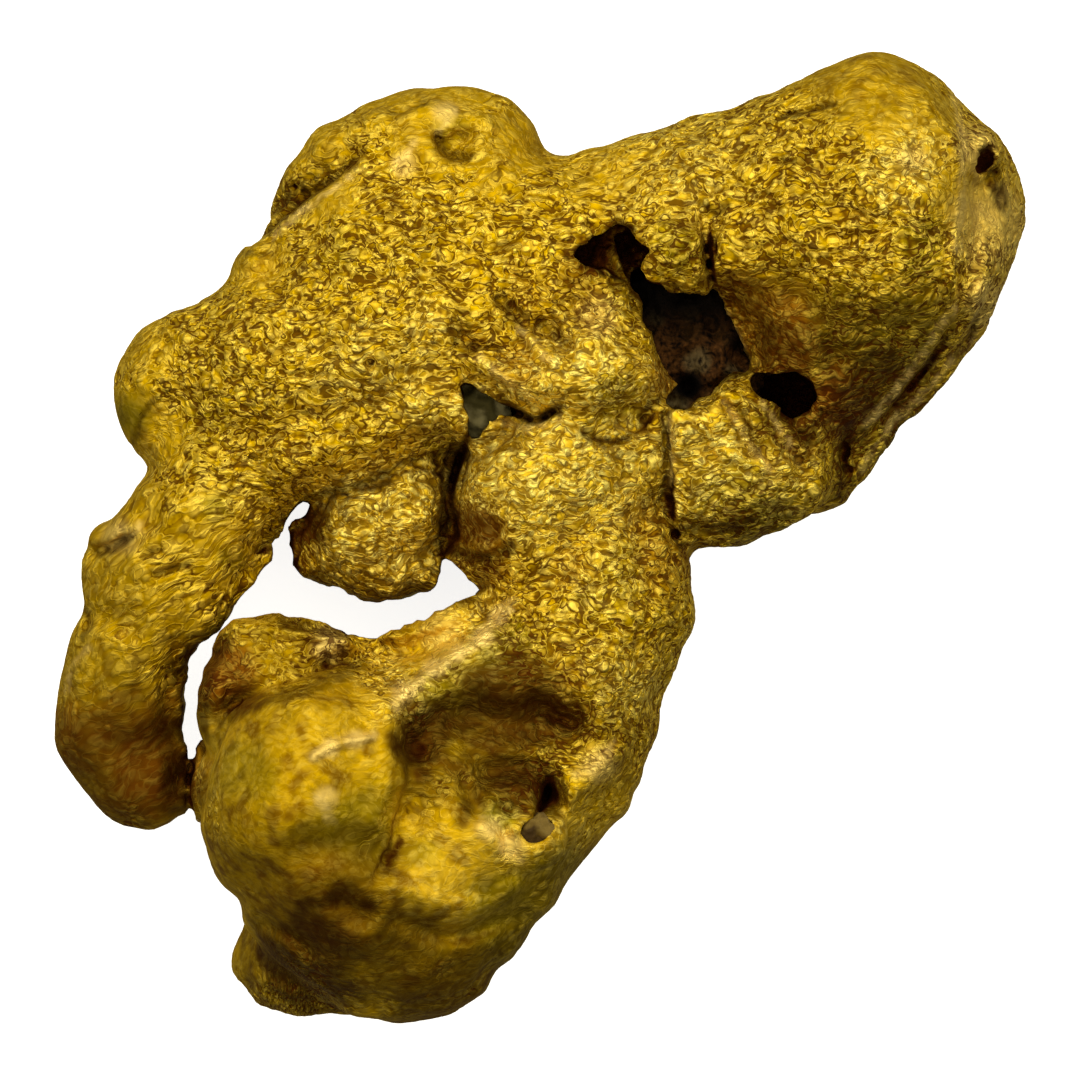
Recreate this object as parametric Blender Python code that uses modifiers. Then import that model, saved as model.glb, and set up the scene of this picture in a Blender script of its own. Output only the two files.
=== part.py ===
"""A stream-worn gold nugget, about 19 x 19 x 8 mm, lying on its flatter side.

The gold is one solid. Its lobes are rounded limbs that run into each other: a left body with a hump
behind it, a bridge to a dome on the right, a neck that comes forward to a tall foot, an arm that reaches
round to the foot, and a short tongue in the gap between them. Bits of stone sit in three of its hollows.

Lengths here are millimetres, turned to metres by MM. +X is right, +Y is back and +Z is up.
"""

import bmesh
import bpy
from mathutils import Matrix, Vector

MM = 0.001
NAME = "gold_nugget"

GRAIN = 0.14  # side of the cubes that the lobes are fused in
FIT_GAP = 0.34  # clear space between a stone and the gold round it
BALL_SIDES, BALL_RINGS = 16, 10
TRIANGLES = 8700  # of the gold
FLAT_DEPTH = 0.3  # how much is worn off the lowest lobes, which gives them flats to rest on

# Each limb is a chain of stations: centre x, y, z, then half width and half height.
LIMBS = {
    "left_body": [
        (-6.9, 3.05, 2.5, 1.75, 1.7),
        (-4.9, 3.5, 2.8, 2.3, 2.6),
        (-3.1, 4.2, 2.9, 2.5, 2.9),
        (-2.7, 4.9, 2.8, 3.0, 2.7),
    ],
    "hump": [(-3.2, 6.8, 2.3, 2.15, 1.9), (-1.8, 7.0, 2.4, 2.3, 2.2)],
    "core": [
        (-3.0, 4.2, 2.9, 2.4, 2.8),
        (-0.8, 4.4, 3.0, 2.3, 2.5),
        (1.0, 3.6, 2.9, 2.2, 2.5),
        (3.2, 2.8, 2.9, 2.2, 2.3),
    ],
    "bridge": [
        (-1.2, 5.8, 2.8, 2.2, 2.3),
        (0.4, 5.65, 2.8, 2.1, 2.3),
        (2.0, 5.6, 2.9, 2.35, 2.4),
        (3.2, 5.85, 2.9, 2.6, 2.6),
        (4.4, 6.15, 3.1, 2.8, 2.8),
        (6.1, 6.6, 3.3, 2.8, 3.1),
    ],
    "dome": [(6.7, 7.0, 3.4, 2.75, 3.1), (6.7, 5.7, 3.4, 2.4, 3.1), (5.0, 3.9, 3.0, 2.0, 2.7)],
    "flank": [(7.5, 6.5, 2.4, 2.25, 2.3), (7.0, 5.0, 1.9, 2.05, 1.7), (4.7, 2.2, 1.9, 1.9, 1.6)],
    "right_lump": [(4.3, 1.6, 2.9, 1.65, 2.1), (3.5, 1.6, 2.9, 1.7, 2.1), (2.4, 2.2, 2.9, 1.6, 2.2)],
    "centre_fold": [
        (-1.0, 3.6, 4.7, 0.6, 0.8),
        (0.1, 3.3, 4.6, 0.9, 1.2),
        (1.1, 3.4, 4.4, 1.35, 1.7),
        (1.8, 3.5, 4.2, 1.05, 1.6),
    ],
    "bulb": [(0.6, 1.6, 3.9, 1.5, 2.0), (-0.2, 1.1, 4.1, 1.45, 2.0), (-0.1, -0.1, 3.6, 1.55, 1.9)],
    "neck": [
        (1.2, 2.4, 2.9, 2.2, 2.3),
        (0.95, 1.0, 2.9, 2.05, 2.3),
        (0.95, -1.0, 3.1, 2.1, 2.6),
        (0.6, -3.0, 3.3, 1.9, 3.0),
        (0.15, -4.0, 3.4, 1.95, 3.2),
        (-1.2, -5.2, 3.8, 2.3, 3.6),
        (-2.8, -6.9, 3.5, 2.7, 3.3),
    ],
    "foot": [
        (-2.8, -6.9, 3.4, 2.7, 3.3),
        (-3.6, -6.4, 3.8, 2.65, 3.8),
        (-4.7, -5.3, 4.5, 2.15, 3.8),
        (-4.6, -4.2, 4.7, 1.85, 3.3),
        (-2.8, -4.3, 4.6, 1.9, 2.8),
        (-0.6, -3.3, 4.2, 1.9, 2.6),
    ],
    "foot_back": [(-5.1, -3.0, 3.3, 1.45, 2.1), (-4.2, -3.4, 3.5, 1.75, 2.0), (-2.0, -3.6, 3.6, 1.8, 2.0)],
    "toe": [(-5.45, -8.5, 1.3, 0.9, 1.0), (-4.4, -7.9, 2.0, 1.6, 1.7)],
    "arm": [
        (-5.6, 2.4, 2.7, 1.9, 2.0),
        (-6.65, 0.8, 2.8, 1.5, 1.8),
        (-7.45, -0.55, 2.9, 1.6, 1.6),
        (-8.2, -2.15, 2.7, 1.12, 1.4),
        (-8.5, -3.5, 2.1, 1.25, 1.2),
        (-8.05, -4.45, 1.9, 1.3, 1.2),
        (-7.15, -4.8, 2.0, 1.0, 1.0),
    ],
    "arm_knob": [(-8.65, -0.4, 2.7, 0.6, 0.7), (-7.9, -0.3, 2.7, 0.8, 0.9)],
    "tongue": [
        (-2.4, 1.6, 2.3, 1.4, 1.7),
        (-2.9, -0.15, 2.4, 1.1, 1.5),
        (-4.1, -0.1, 2.4, 0.85, 1.4),
        (-3.7, 1.4, 2.6, 0.85, 1.4),
    ],
}

# Each hollow is one hull over its balls: the mouth's above the gold, the floor's inside it.
HOLLOWS = {
    "cavity": [
        (2.5, 4.8, 6.0, 0.5, 0.5),
        (3.2, 4.8, 6.0, 0.5, 0.5),
        (3.9, 3.5, 5.8, 0.45, 0.5),
        (3.0, 2.9, 5.6, 0.5, 0.5),
        (2.8, 4.3, 3.9, 0.5, 0.4),
        (3.3, 3.7, 3.9, 0.5, 0.4),
    ],
    "cavity_gutter": [(1.2, 5.8, 5.7, 0.4, 0.7), (2.2, 5.1, 5.2, 0.6, 0.9)],
    "round_hole": [(5.05, 3.0, 6.2, 0.55, 0.5), (4.75, 2.9, 4.0, 0.4, 0.5)],
    "seam_pocket": [(-1.1, 2.6, 6.4, 0.7, 0.6), (-1.1, 2.6, 4.9, 0.55, 0.5)],
    "foot_hollow": [(-2.2, -3.9, 8.2, 0.9, 1.5), (0.0, -3.6, 7.8, 0.9, 1.4), (-0.4, -5.2, 8.0, 0.8, 1.2)],
    "foot_slit": [(0.15, -4.8, 7.3, 0.25, 1.2), (0.0, -5.6, 7.3, 0.25, 1.2)],
    "foot_pocket": [(-0.25, -5.8, 8.0, 0.7, 0.5), (-0.25, -5.8, 6.4, 0.45, 0.4)],
}

# The steep, nearly flat faces on the right of the dome: a point on each, and the way it looks.
FLANK_FACES = [
    ((8.55, 6.4, 4.9), (1.0, 0.05, 0.4)),
    ((8.1, 8.7, 4.4), (0.8, 0.6, 0.28)),
]

# Each stone is one hull over its balls: what it is made of follows.
STONES = {
    "cavity_matrix": ([(2.7, 4.5, 3.5, 0.45, 0.4), (3.2, 4.0, 3.5, 0.6, 0.45), (3.1, 3.4, 3.5, 0.45, 0.4)], "matrix"),
    "seam_grain": ([(-1.15, 2.65, 4.8, 0.32, 0.28), (-1.0, 2.5, 4.8, 0.28, 0.26)], "quartz"),
    "foot_grain": ([(-0.3, -5.75, 6.3, 0.3, 0.24), (-0.15, -5.85, 6.25, 0.26, 0.22)], "quartz"),
}

# Colour, roughness and metallic value of each material.
MATERIALS = {
    "native_gold": ((0.62, 0.38, 0.05), 0.38, 1.0),
    "matrix": ((0.07, 0.05, 0.035), 0.8, 0.0),
    "quartz": ((0.16, 0.15, 0.1), 0.45, 0.0),
}


def clear_scene():
    for obj in list(bpy.data.objects):
        bpy.data.objects.remove(obj)


def collection(name):
    made = bpy.data.collections.new(name)
    bpy.context.scene.collection.children.link(made)
    return made


def material(name):
    colour, roughness, metallic = MATERIALS[name]
    made = bpy.data.materials.new(name)
    made.use_nodes = True
    shader = made.node_tree.nodes["Principled BSDF"]
    shader.inputs["Base Color"].default_value = (*colour, 1)
    shader.inputs["Roughness"].default_value = roughness
    shader.inputs["Metallic"].default_value = metallic
    return made


def add_ball(bm, station, grow):
    """The points of a flattened ball, with no faces."""
    x, y, z, half_width, half_height = station
    size = Vector((half_width + grow, half_width + grow, half_height + grow)) * MM
    place = Matrix.LocRotScale(Vector((x, y, z)) * MM, None, size)
    ball = bmesh.ops.create_uvsphere(bm, u_segments=BALL_SIDES, v_segments=BALL_RINGS, radius=1, matrix=place)
    faces = {face for vert in ball["verts"] for face in vert.link_faces}
    bmesh.ops.delete(bm, geom=list(faces), context="FACES_ONLY")


def add_hull(bm, stations, grow=0.0):
    """One closed skin stretched over balls, added to bm."""
    skin = bmesh.new()
    for station in stations:
        add_ball(skin, station, grow)
    hull = bmesh.ops.convex_hull(skin, input=skin.verts, use_existing_faces=False)
    buried = {v for v in hull["geom_interior"] + hull["geom_unused"] if isinstance(v, bmesh.types.BMVert)}
    bmesh.ops.delete(skin, geom=list(buried), context="VERTS")
    bmesh.ops.recalc_face_normals(skin, faces=skin.faces)
    mesh = bpy.data.meshes.new("hull")
    skin.to_mesh(mesh)
    skin.free()
    bm.from_mesh(mesh)
    bpy.data.meshes.remove(mesh)


def add_object(name, bm, into):
    mesh = bpy.data.meshes.new(name)
    bm.to_mesh(mesh)
    bm.free()
    obj = bpy.data.objects.new(name, mesh)
    into.objects.link(obj)
    return obj


def limbs_object(into):
    """Every limb's links in one object, still overlapping."""
    bm = bmesh.new()
    for stations in LIMBS.values():
        for link in zip(stations, stations[1:]):
            add_hull(bm, link)
    return add_object("gold_body", bm, into)


def cutter(name, bm, into):
    obj = add_object(name, bm, into)
    obj.hide_render = True
    obj.display_type = "WIRE"
    return obj


def hollow_cutters(into):
    for name, stations in HOLLOWS.items():
        bm = bmesh.new()
        add_hull(bm, stations)
        cutter(name, bm, into)
    for name, (stations, _) in STONES.items():
        bm = bmesh.new()
        add_hull(bm, stations, grow=FIT_GAP)
        cutter(name + "_seat", bm, into)


def flank_cutters(into):
    """A block laid against each of the dome's steep faces."""
    side = 12 * MM
    for number, (point, looks) in enumerate(FLANK_FACES, 1):
        looks = Vector(looks).normalized()
        turn = looks.to_track_quat("Z", "Y").to_matrix().to_4x4()
        place = Matrix.Translation(Vector(point) * MM + looks * side / 2) @ turn
        bm = bmesh.new()
        bmesh.ops.create_cube(bm, size=side, matrix=place)
        cutter(f"flank_face_{number}", bm, into)


def modifier(obj, kind, **settings):
    made = obj.modifiers.new(kind.lower(), kind)
    for key, value in settings.items():
        setattr(made, key, value)


def lumps():
    """Soft lumps a little over a millimetre across."""
    texture = bpy.data.textures.new("lumps", "CLOUDS")
    texture.noise_scale = 1.2 * MM
    texture.noise_depth = 1
    return texture


def shape_gold(gold, cutters):
    """Fuses the limbs, opens the hollows and thins the skin to the triangles allowed."""
    modifier(gold, "REMESH", mode="VOXEL", voxel_size=GRAIN * MM)
    modifier(gold, "SMOOTH", factor=0.5, iterations=4)
    for number, block in enumerate(cutters.objects, 1):
        modifier(gold, "BOOLEAN", operation="DIFFERENCE", object=block)
    modifier(gold, "REMESH", mode="VOXEL", voxel_size=GRAIN * MM)
    modifier(gold, "SMOOTH", factor=0.5, iterations=2)
    modifier(gold, "DISPLACE", texture=lumps(), strength=0.24 * MM, mid_level=0.5)


def triangle_count(obj):
    graph = bpy.context.evaluated_depsgraph_get()
    mesh = obj.evaluated_get(graph).to_mesh()
    mesh.calc_loop_triangles()
    return len(mesh.loop_triangles)


def bake(obj):
    """Keeps the shape that the modifiers give as the object's own mesh."""
    graph = bpy.context.evaluated_depsgraph_get()
    mesh = bpy.data.meshes.new_from_object(obj.evaluated_get(graph))
    obj.modifiers.clear()
    obj.data = mesh


def wear_flats(obj):
    """Cuts the lowest lobes off level, and closes the cuts."""
    bm = bmesh.new()
    bm.from_mesh(obj.data)
    level = min(v.co.z for v in bm.verts) + FLAT_DEPTH * MM
    everything = bm.verts[:] + bm.edges[:] + bm.faces[:]
    cut = bmesh.ops.bisect_plane(
        bm, geom=everything, plane_co=(0, 0, level), plane_no=(0, 0, 1), clear_inner=True
    )
    rims = [item for item in cut["geom_cut"] if isinstance(item, bmesh.types.BMEdge)]
    flats = bmesh.ops.edgeloop_fill(bm, edges=rims)["faces"]
    bmesh.ops.recalc_face_normals(bm, faces=bm.faces)
    bmesh.ops.triangulate(bm, faces=flats)
    bm.to_mesh(obj.data)
    bm.free()


def centre_of_base(obj):
    corners = [Vector(corner) for corner in obj.bound_box]
    low = Vector(min(c[axis] for c in corners) for axis in range(3))
    high = Vector(max(c[axis] for c in corners) for axis in range(3))
    return Vector(((low.x + high.x) / 2, (low.y + high.y) / 2, low.z))


def add_stones(into):
    stones = []
    for name, (stations, stuff) in STONES.items():
        bm = bmesh.new()
        add_hull(bm, stations)
        stone = add_object(name, bm, into)
        stone.data.materials.append(material(stuff))
        stones.append(stone)
    return stones


def main():
    clear_scene()
    parts = collection(NAME)
    cutters = collection("cutters")
    hollow_cutters(cutters)
    flank_cutters(cutters)
    gold = limbs_object(parts)
    shape_gold(gold, cutters)
    modifier(gold, "DECIMATE", ratio=TRIANGLES / triangle_count(gold))
    bake(gold)
    wear_flats(gold)
    gold.data.shade_smooth()
    gold.data.materials.append(material("native_gold"))
    stones = add_stones(parts)
    shift = Matrix.Translation(-centre_of_base(gold))
    for obj in [gold, *stones, *cutters.objects]:
        obj.data.transform(shift)


main()
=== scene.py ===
"""The looks of a natural gold nugget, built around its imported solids.

The gold is reshaped on a working copy in millimetres: first the worn form, then the creases and steps, then
the cracks, hollows and pits, and last the crinkled skin. A finished piece is taken back to metres at the end.
"""

import math

import bmesh
import bpy
import numpy as np
from mathutils import Matrix, Vector, bvhtree, kdtree, noise

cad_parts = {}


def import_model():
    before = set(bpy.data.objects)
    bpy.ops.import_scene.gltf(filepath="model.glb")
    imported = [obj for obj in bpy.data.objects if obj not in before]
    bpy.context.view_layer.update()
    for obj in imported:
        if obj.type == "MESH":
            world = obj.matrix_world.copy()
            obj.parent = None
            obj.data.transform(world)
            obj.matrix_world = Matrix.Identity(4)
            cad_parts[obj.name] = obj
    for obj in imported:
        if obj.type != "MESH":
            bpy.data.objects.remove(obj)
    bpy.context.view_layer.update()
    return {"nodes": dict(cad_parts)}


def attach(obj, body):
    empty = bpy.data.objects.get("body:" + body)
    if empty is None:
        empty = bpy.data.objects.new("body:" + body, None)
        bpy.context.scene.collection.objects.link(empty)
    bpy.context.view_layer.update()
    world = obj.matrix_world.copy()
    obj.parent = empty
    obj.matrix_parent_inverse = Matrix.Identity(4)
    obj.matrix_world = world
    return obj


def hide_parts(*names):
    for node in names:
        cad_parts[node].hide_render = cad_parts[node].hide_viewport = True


MM = 0.001

FORM_GRAIN = 0.12  # mm, voxel of the smooth worn form
LUMP_GRAIN = 0.09  # mm, voxel that melts the added lumps into it
SKIN_GRAIN = 0.050  # mm, voxel that holds the narrowest crack and the crinkled skin, before it is thinned
SKIN_TRIANGLES = 197000  # triangles that the gold is thinned to; one piece stays under 200,000

ABOVE = 20  # mm, higher than the whole piece, where a look straight down starts
MID_HEIGHT = 4.0  # mm, taken where such a look meets nothing
CUTTER_TOP = 9.5  # mm, how high the cutters of the hollows reach
WALL_STEP = 0.10  # mm between the points of a hollow's outline
WALL_JITTER = 0.035  # mm that each of them strays
DRAFT = 0.95  # a hollow's floor against its mouth
BLADE_STEP = 0.14  # mm between the rows of a crack's blade
BLADE_ROOM = 0.12  # mm that a blade stands above the surface
PATH_STEP = 0.25  # mm between the points of a path that the surface is measured from
FAR = 1e9  # mm

# Lumps of gold that the plain solid doesn't carry: centre and half sizes in mm, turn about Z in degrees.
ADDED_LUMPS = {
    "overhanging_block": ((2.6, 5.75, 5.15), (0.86, 0.62, 0.62), 10),
    "block_corner": ((3.2, 5.35, 5.15), (0.5, 0.42, 0.5), 0),
    "cavity_spur": ((3.86, 2.92, 4.2), (0.5, 0.3, 0.7), 30),
    "arm_knob_tip": ((-8.62, 0.05, 2.6), (0.46, 0.34, 0.5), 25),
    "arm_edge": ((-8.83, -0.84, 2.5), (0.36, 0.7, 0.5), 0),
    "neck_shoulder": ((-1.84, -1.68, 4.0), (1.0, 0.46, 0.9), 27),
    "foot_back_block": ((-5.23, -2.85, 4.3), (1.38, 1.2, 1.35), 0),
    "foot_back_rim": ((-5.08, -1.99, 4.4), (1.2, 0.5, 0.9), 0),
    "foot_flank": ((-6.34, -3.31, 4.3), (0.5, 1.0, 1.2), 0),
    "foot_corner": ((-5.9, -2.11, 4.2), (0.62, 0.55, 1.0), 0),
    "foot_back_fill": ((-4.25, -2.38, 4.7), (0.7, 0.44, 0.62), 10),
    "foot_front_flank": ((-6.13, -4.93, 3.6), (0.78, 1.05, 1.3), 0),
    "tongue_corner": ((-2.26, -0.72, 2.6), (0.42, 0.36, 0.8), 0),
    "tongue_corner_low": ((-4.7, -0.56, 2.4), (0.36, 0.3, 0.7), 20),
    "arm_root_edge": ((-5.93, -0.84, 2.6), (0.34, 0.4, 0.8), -35),
    "foot_top_edge": ((-2.75, -1.95, 4.0), (0.5, 0.3, 0.8), 0),
    "body_edge": ((-5.66, 5.56, 2.8), (0.34, 0.62, 0.9), -45),
    "arm_flank": ((-7.32, -2.84, 2.3), (0.34, 0.85, 0.8), 0),
    "tongue_flank": ((-4.7, -0.16, 2.4), (0.38, 0.6, 0.8), 0),
    "bulb_root": ((-1.31, -0.52, 3.2), (0.66, 0.55, 1.0), -40),
    "seam_pocket_fill": ((-1.16, 2.64, 4.25), (0.78, 0.86, 0.8), 0),
    "foot_pocket_fill": ((-0.25, -5.85, 6.05), (0.8, 0.75, 0.72), 0),
    "round_hole_fill": ((4.75, 3.0, 3.7), (0.85, 0.75, 0.9), 0),
    "arm_side_lump": ((-5.5, -0.35, 2.8), (0.22, 0.42, 0.4), -15),
}

# Side walls of hollows, cut straight down: floor height and outline in mm. A floor below zero goes through.
WELLS = {
    "gutter": (4.0, [(0.58, 5.68), (0.87, 5.9), (1.25, 6.12), (1.47, 6.3), (1.81, 6.22), (1.99, 5.98),
        (2.24, 5.78), (2.2, 5.6), (2.01, 5.43), (1.91, 5.02), (1.55, 5.21), (1.25, 5.35), (0.83, 5.46)]),
    "cavity": (2.3, [(2.01, 5.53), (2.13, 5.22), (2.43, 5.1), (2.55, 4.93), (2.99, 4.96), (3.38, 4.94),
        (3.49, 5.16), (3.63, 4.9), (3.79, 4.49), (4.01, 4.05), (4.23, 3.49), (4.13, 3.32), (3.94, 3.37),
        (3.52, 3.16), (3.46, 2.85), (3.2, 2.77), (2.98, 2.58), (2.72, 2.5), (2.5, 2.58), (2.5, 2.84),
        (2.73, 3.07), (2.88, 3.39), (2.78, 3.73), (2.66, 4.01), (2.44, 4.17), (2.13, 4.17), (1.99, 4.39),
        (2.03, 4.76), (1.79, 5.1), (1.75, 5.41)]),
    "gutter_throat": (3.3, [(1.47, 6.12), (1.79, 6.18), (1.99, 5.9), (2.18, 5.72), (2.05, 5.41),
        (1.83, 5.18), (1.59, 5.53)]),
    "seam_pocket": (3.9, [(-1.61, 3.14), (-1.23, 2.99), (-0.8, 2.71), (-0.44, 2.52), (-0.8, 2.45),
        (-1.04, 2.25), (-1.32, 1.99), (-1.44, 2.19), (-1.49, 2.59)]),
    "round_hole": (2.2, [(4.21, 3.32), (4.41, 3.37), (4.69, 3.34), (4.96, 3.37), (5.2, 3.33), (5.38, 3.2),
        (5.52, 3.0), (5.54, 2.76), (5.43, 2.55), (5.23, 2.43), (4.98, 2.37), (4.81, 2.53), (4.61, 2.67),
        (4.37, 2.76), (4.23, 2.96), (4.17, 3.16)]),
    "foot_pocket": (5.7, [(-0.4, -5.63), (-0.2, -5.55), (0.02, -5.47), (0.2, -5.52), (0.26, -5.72),
        (0.16, -5.93), (-0.04, -6.03), (-0.26, -5.99), (-0.42, -5.83)]),
    "gap": (-1.0, [(-4.49, 0.78), (-4.69, 0.8), (-4.87, 0.76), (-4.99, 0.6), (-5.11, 0.4), (-5.18, 0.16),
        (-5.3, 0.0), (-5.44, -0.08), (-5.32, -0.18), (-5.36, -0.4), (-5.56, -0.62), (-5.8, -0.92),
        (-6.08, -1.22), (-6.23, -1.44), (-6.37, -1.66), (-6.58, -1.88), (-6.86, -2.08), (-6.98, -2.3),
        (-7.06, -2.6), (-7.13, -3.04), (-7.18, -3.51), (-7.18, -3.93), (-7.11, -4.25), (-7.03, -4.49),
        (-6.93, -4.31), (-6.84, -4.07), (-6.79, -3.91), (-6.82, -3.68), (-6.8, -3.32), (-6.74, -2.96),
        (-6.66, -2.62), (-6.54, -2.26), (-6.4, -1.94), (-6.26, -1.72), (-6.04, -1.58), (-5.76, -1.56),
        (-5.48, -1.46), (-5.2, -1.5), (-5.0, -1.56), (-4.68, -1.58), (-4.3, -1.66), (-4.07, -1.78),
        (-3.87, -1.89), (-3.59, -1.95), (-3.29, -1.95), (-3.07, -1.88), (-2.8, -1.76), (-2.44, -1.6),
        (-2.24, -1.58), (-2.06, -1.44), (-1.84, -1.38), (-1.64, -1.26), (-1.44, -1.14), (-1.2, -1.02),
        (-1.32, -0.88), (-1.54, -0.66), (-1.74, -0.46), (-1.9, -0.34), (-1.98, -0.48), (-2.0, -0.66),
        (-2.06, -0.84), (-2.18, -1.0), (-2.36, -1.04), (-2.56, -1.06), (-2.8, -1.16), (-3.08, -1.22),
        (-3.3, -1.28), (-3.5, -1.24), (-3.7, -1.1), (-3.91, -0.98), (-4.21, -0.9), (-4.5, -0.82),
        (-4.74, -0.74), (-4.94, -0.6), (-4.98, -0.34), (-5.02, 0.0), (-4.98, 0.32), (-4.82, 0.4),
        (-4.66, 0.52), (-4.58, 0.68)]),
    "arm_tip_notch": (-1.0, [(-7.01, -5.35), (-6.93, -5.53), (-6.82, -5.96), (-6.7, -6.52), (-7.4, -6.2),
        (-7.82, -5.86), (-7.46, -5.69), (-7.17, -5.49)]),
}

# Cracks: width in mm, depth in mm, path in mm.
CRACKS = {
    "hump_crack": (0.08, 0.6, [(-5.76, 5.94), (-5.44, 6.2), (-5.1, 6.54), (-4.75, 6.81), (-4.35, 7.07),
        (-3.99, 7.34), (-3.67, 7.58)]),
    "left_crack": (0.07, 0.25, [(-8.12, 1.92), (-8.06, 2.24), (-7.91, 2.52), (-7.7, 2.77), (-7.38, 3.01)]),
    "fold_crack": (0.12, 0.5, [(-0.84, 2.79), (-0.52, 2.55), (-0.28, 2.44), (-0.12, 2.36), (0.12, 2.46),
        (0.28, 2.56), (0.48, 2.66)]),
    "bulb_crack": (0.1, 0.7, [(-1.32, 2.19), (-1.56, 1.82), (-1.7, 1.46), (-1.8, 1.0), (-1.86, 0.6)]),
    "fold_notch": (0.09, 0.5, [(0.87, 2.1), (1.07, 2.02), (1.23, 2.06), (1.43, 1.96), (1.71, 2.01)]),
    "fold_notch_end": (0.06, 0.4, [(1.99, 2.19), (2.09, 2.36), (2.22, 2.52), (2.3, 2.66)]),
    "lump_crack": (0.065, 0.4, [(2.46, 2.54), (2.48, 2.19), (2.52, 1.71), (2.53, 1.27), (2.47, 0.84)]),
    "lump_crack_low": (0.07, 0.35, [(2.47, 0.84), (2.55, 0.52), (2.71, 0.16), (2.87, -0.24)]),
    "block_crack": (0.09, 1.2, [(3.23, 6.43), (3.27, 6.11), (3.31, 5.75), (3.35, 5.39), (3.45, 4.96)]),
    "dome_slit": (0.08, 0.25, [(4.75, 8.41), (4.93, 8.49), (5.17, 8.5), (5.36, 8.58), (5.6, 8.62),
        (5.84, 8.67)]),
    "seam": (0.07, 0.45, [(8.39, 4.57), (8.19, 4.23), (8.0, 3.92), (7.82, 3.63), (7.61, 3.32), (7.37, 3.0),
        (7.13, 2.7), (6.85, 2.4), (6.53, 2.12)]),
    "seam_gape": (0.08, 0.5, [(8.05, 3.9), (7.91, 3.75), (7.78, 3.44), (7.56, 3.22), (7.41, 3.0)]),
    "seam_lip": (0.08, 0.3, [(8.71, 4.43), (8.66, 4.13), (8.5, 3.85), (8.3, 3.61)]),
    "seam_end": (0.1, 0.4, [(6.16, 2.08), (6.06, 1.84), (6.07, 1.56), (6.18, 1.24)]),
    "foot_slit": (0.13, 0.8, [(0.14, -4.82), (0.14, -5.04), (0.04, -5.3), (-0.1, -5.55)]),
    "arm_fold": (0.12, 0.25, [(-8.86, -0.28), (-8.67, -0.16), (-8.44, -0.06), (-8.18, 0.06)]),
    "arm_slot": (0.1, 0.16, [(-7.91, -0.32), (-7.73, -0.22), (-7.53, -0.16)]),
    "arm_slot_low": (0.09, 0.14, [(-7.65, -0.68), (-7.33, -0.58), (-6.97, -0.48)]),
    "arm_nick": (0.1, 0.2, [(-9.12, -1.48), (-9.08, -1.64), (-9.12, -1.88)]),
    "arm_groove": (0.16, 0.18, [(-8.84, -0.24), (-8.58, -0.2), (-8.38, -0.06), (-8.18, 0.08)]),
    "arm_tip_line": (0.09, 0.6, [(-6.95, -4.33), (-7.01, -4.65), (-7.05, -5.01), (-6.99, -5.45)]),
    "hump_scratch": (0.07, 0.12, [(-2.94, 8.55), (-2.76, 8.59), (-2.56, 8.65), (-2.32, 8.74)]),
    "dome_curl": (0.07, 0.14, [(6.03, 6.53), (6.29, 6.49), (6.48, 6.43), (6.64, 6.35)]),
    "dome_curl_low": (0.07, 0.12, [(5.97, 6.03), (6.29, 6.01), (6.64, 6.05), (6.92, 6.13)]),
    "gutter_crack": (0.08, 0.3, [(1.25, 6.14), (1.03, 6.24), (0.87, 6.4)]),
    "root_fold": (0.07, 0.3, [(-1.82, -0.14), (-1.56, -0.18), (-1.31, -0.32), (-1.07, -0.36), (-0.79, -0.2),
        (-0.56, -0.1)]),
}

# Steps, where one fold of gold lies over the next: drop on the left of the path, reach and path, all in mm.
STEPS = [
    (0.4, 0.62, [(-6.0, 5.72), (-5.56, 6.1), (-5.1, 6.54), (-4.75, 6.81), (-4.35, 7.07), (-3.99, 7.34),
        (-3.71, 7.56), (-3.39, 7.74)]),
    (0.08, 0.4, [(-1.76, 1.76), (-2.29, 1.68), (-2.79, 1.54), (-3.23, 1.26), (-3.75, 1.1), (-4.19, 1.0),
        (-4.59, 0.9), (-4.99, 0.76)]),
    (0.16, 0.3, [(-1.98, -0.32), (-1.88, 0.56), (-1.82, 1.0), (-1.72, 1.46), (-1.56, 1.82), (-1.32, 2.19)]),
    (0.25, 0.5, [(8.47, 4.65), (8.19, 4.23), (8.0, 3.92), (7.82, 3.63), (7.61, 3.32), (7.37, 3.0),
        (7.13, 2.7), (6.81, 2.36), (6.45, 2.04), (6.12, 1.88)]),
    (0.45, 0.5, [(-6.71, -3.97), (-6.25, -3.44), (-5.74, -3.21), (-4.9, -3.0), (-4.31, -2.77),
        (-3.73, -2.54)]),
    (0.5, 0.6, [(-6.8, -6.2), (-6.99, -5.45), (-7.07, -5.01), (-7.01, -4.65), (-6.94, -4.21)]),
    (0.4, 0.95, [(-2.85, -2.97), (-2.68, -3.55), (-2.66, -4.04), (-2.68, -4.73), (-2.84, -5.42),
        (-3.03, -6.11), (-3.35, -6.77)]),
]

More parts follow.
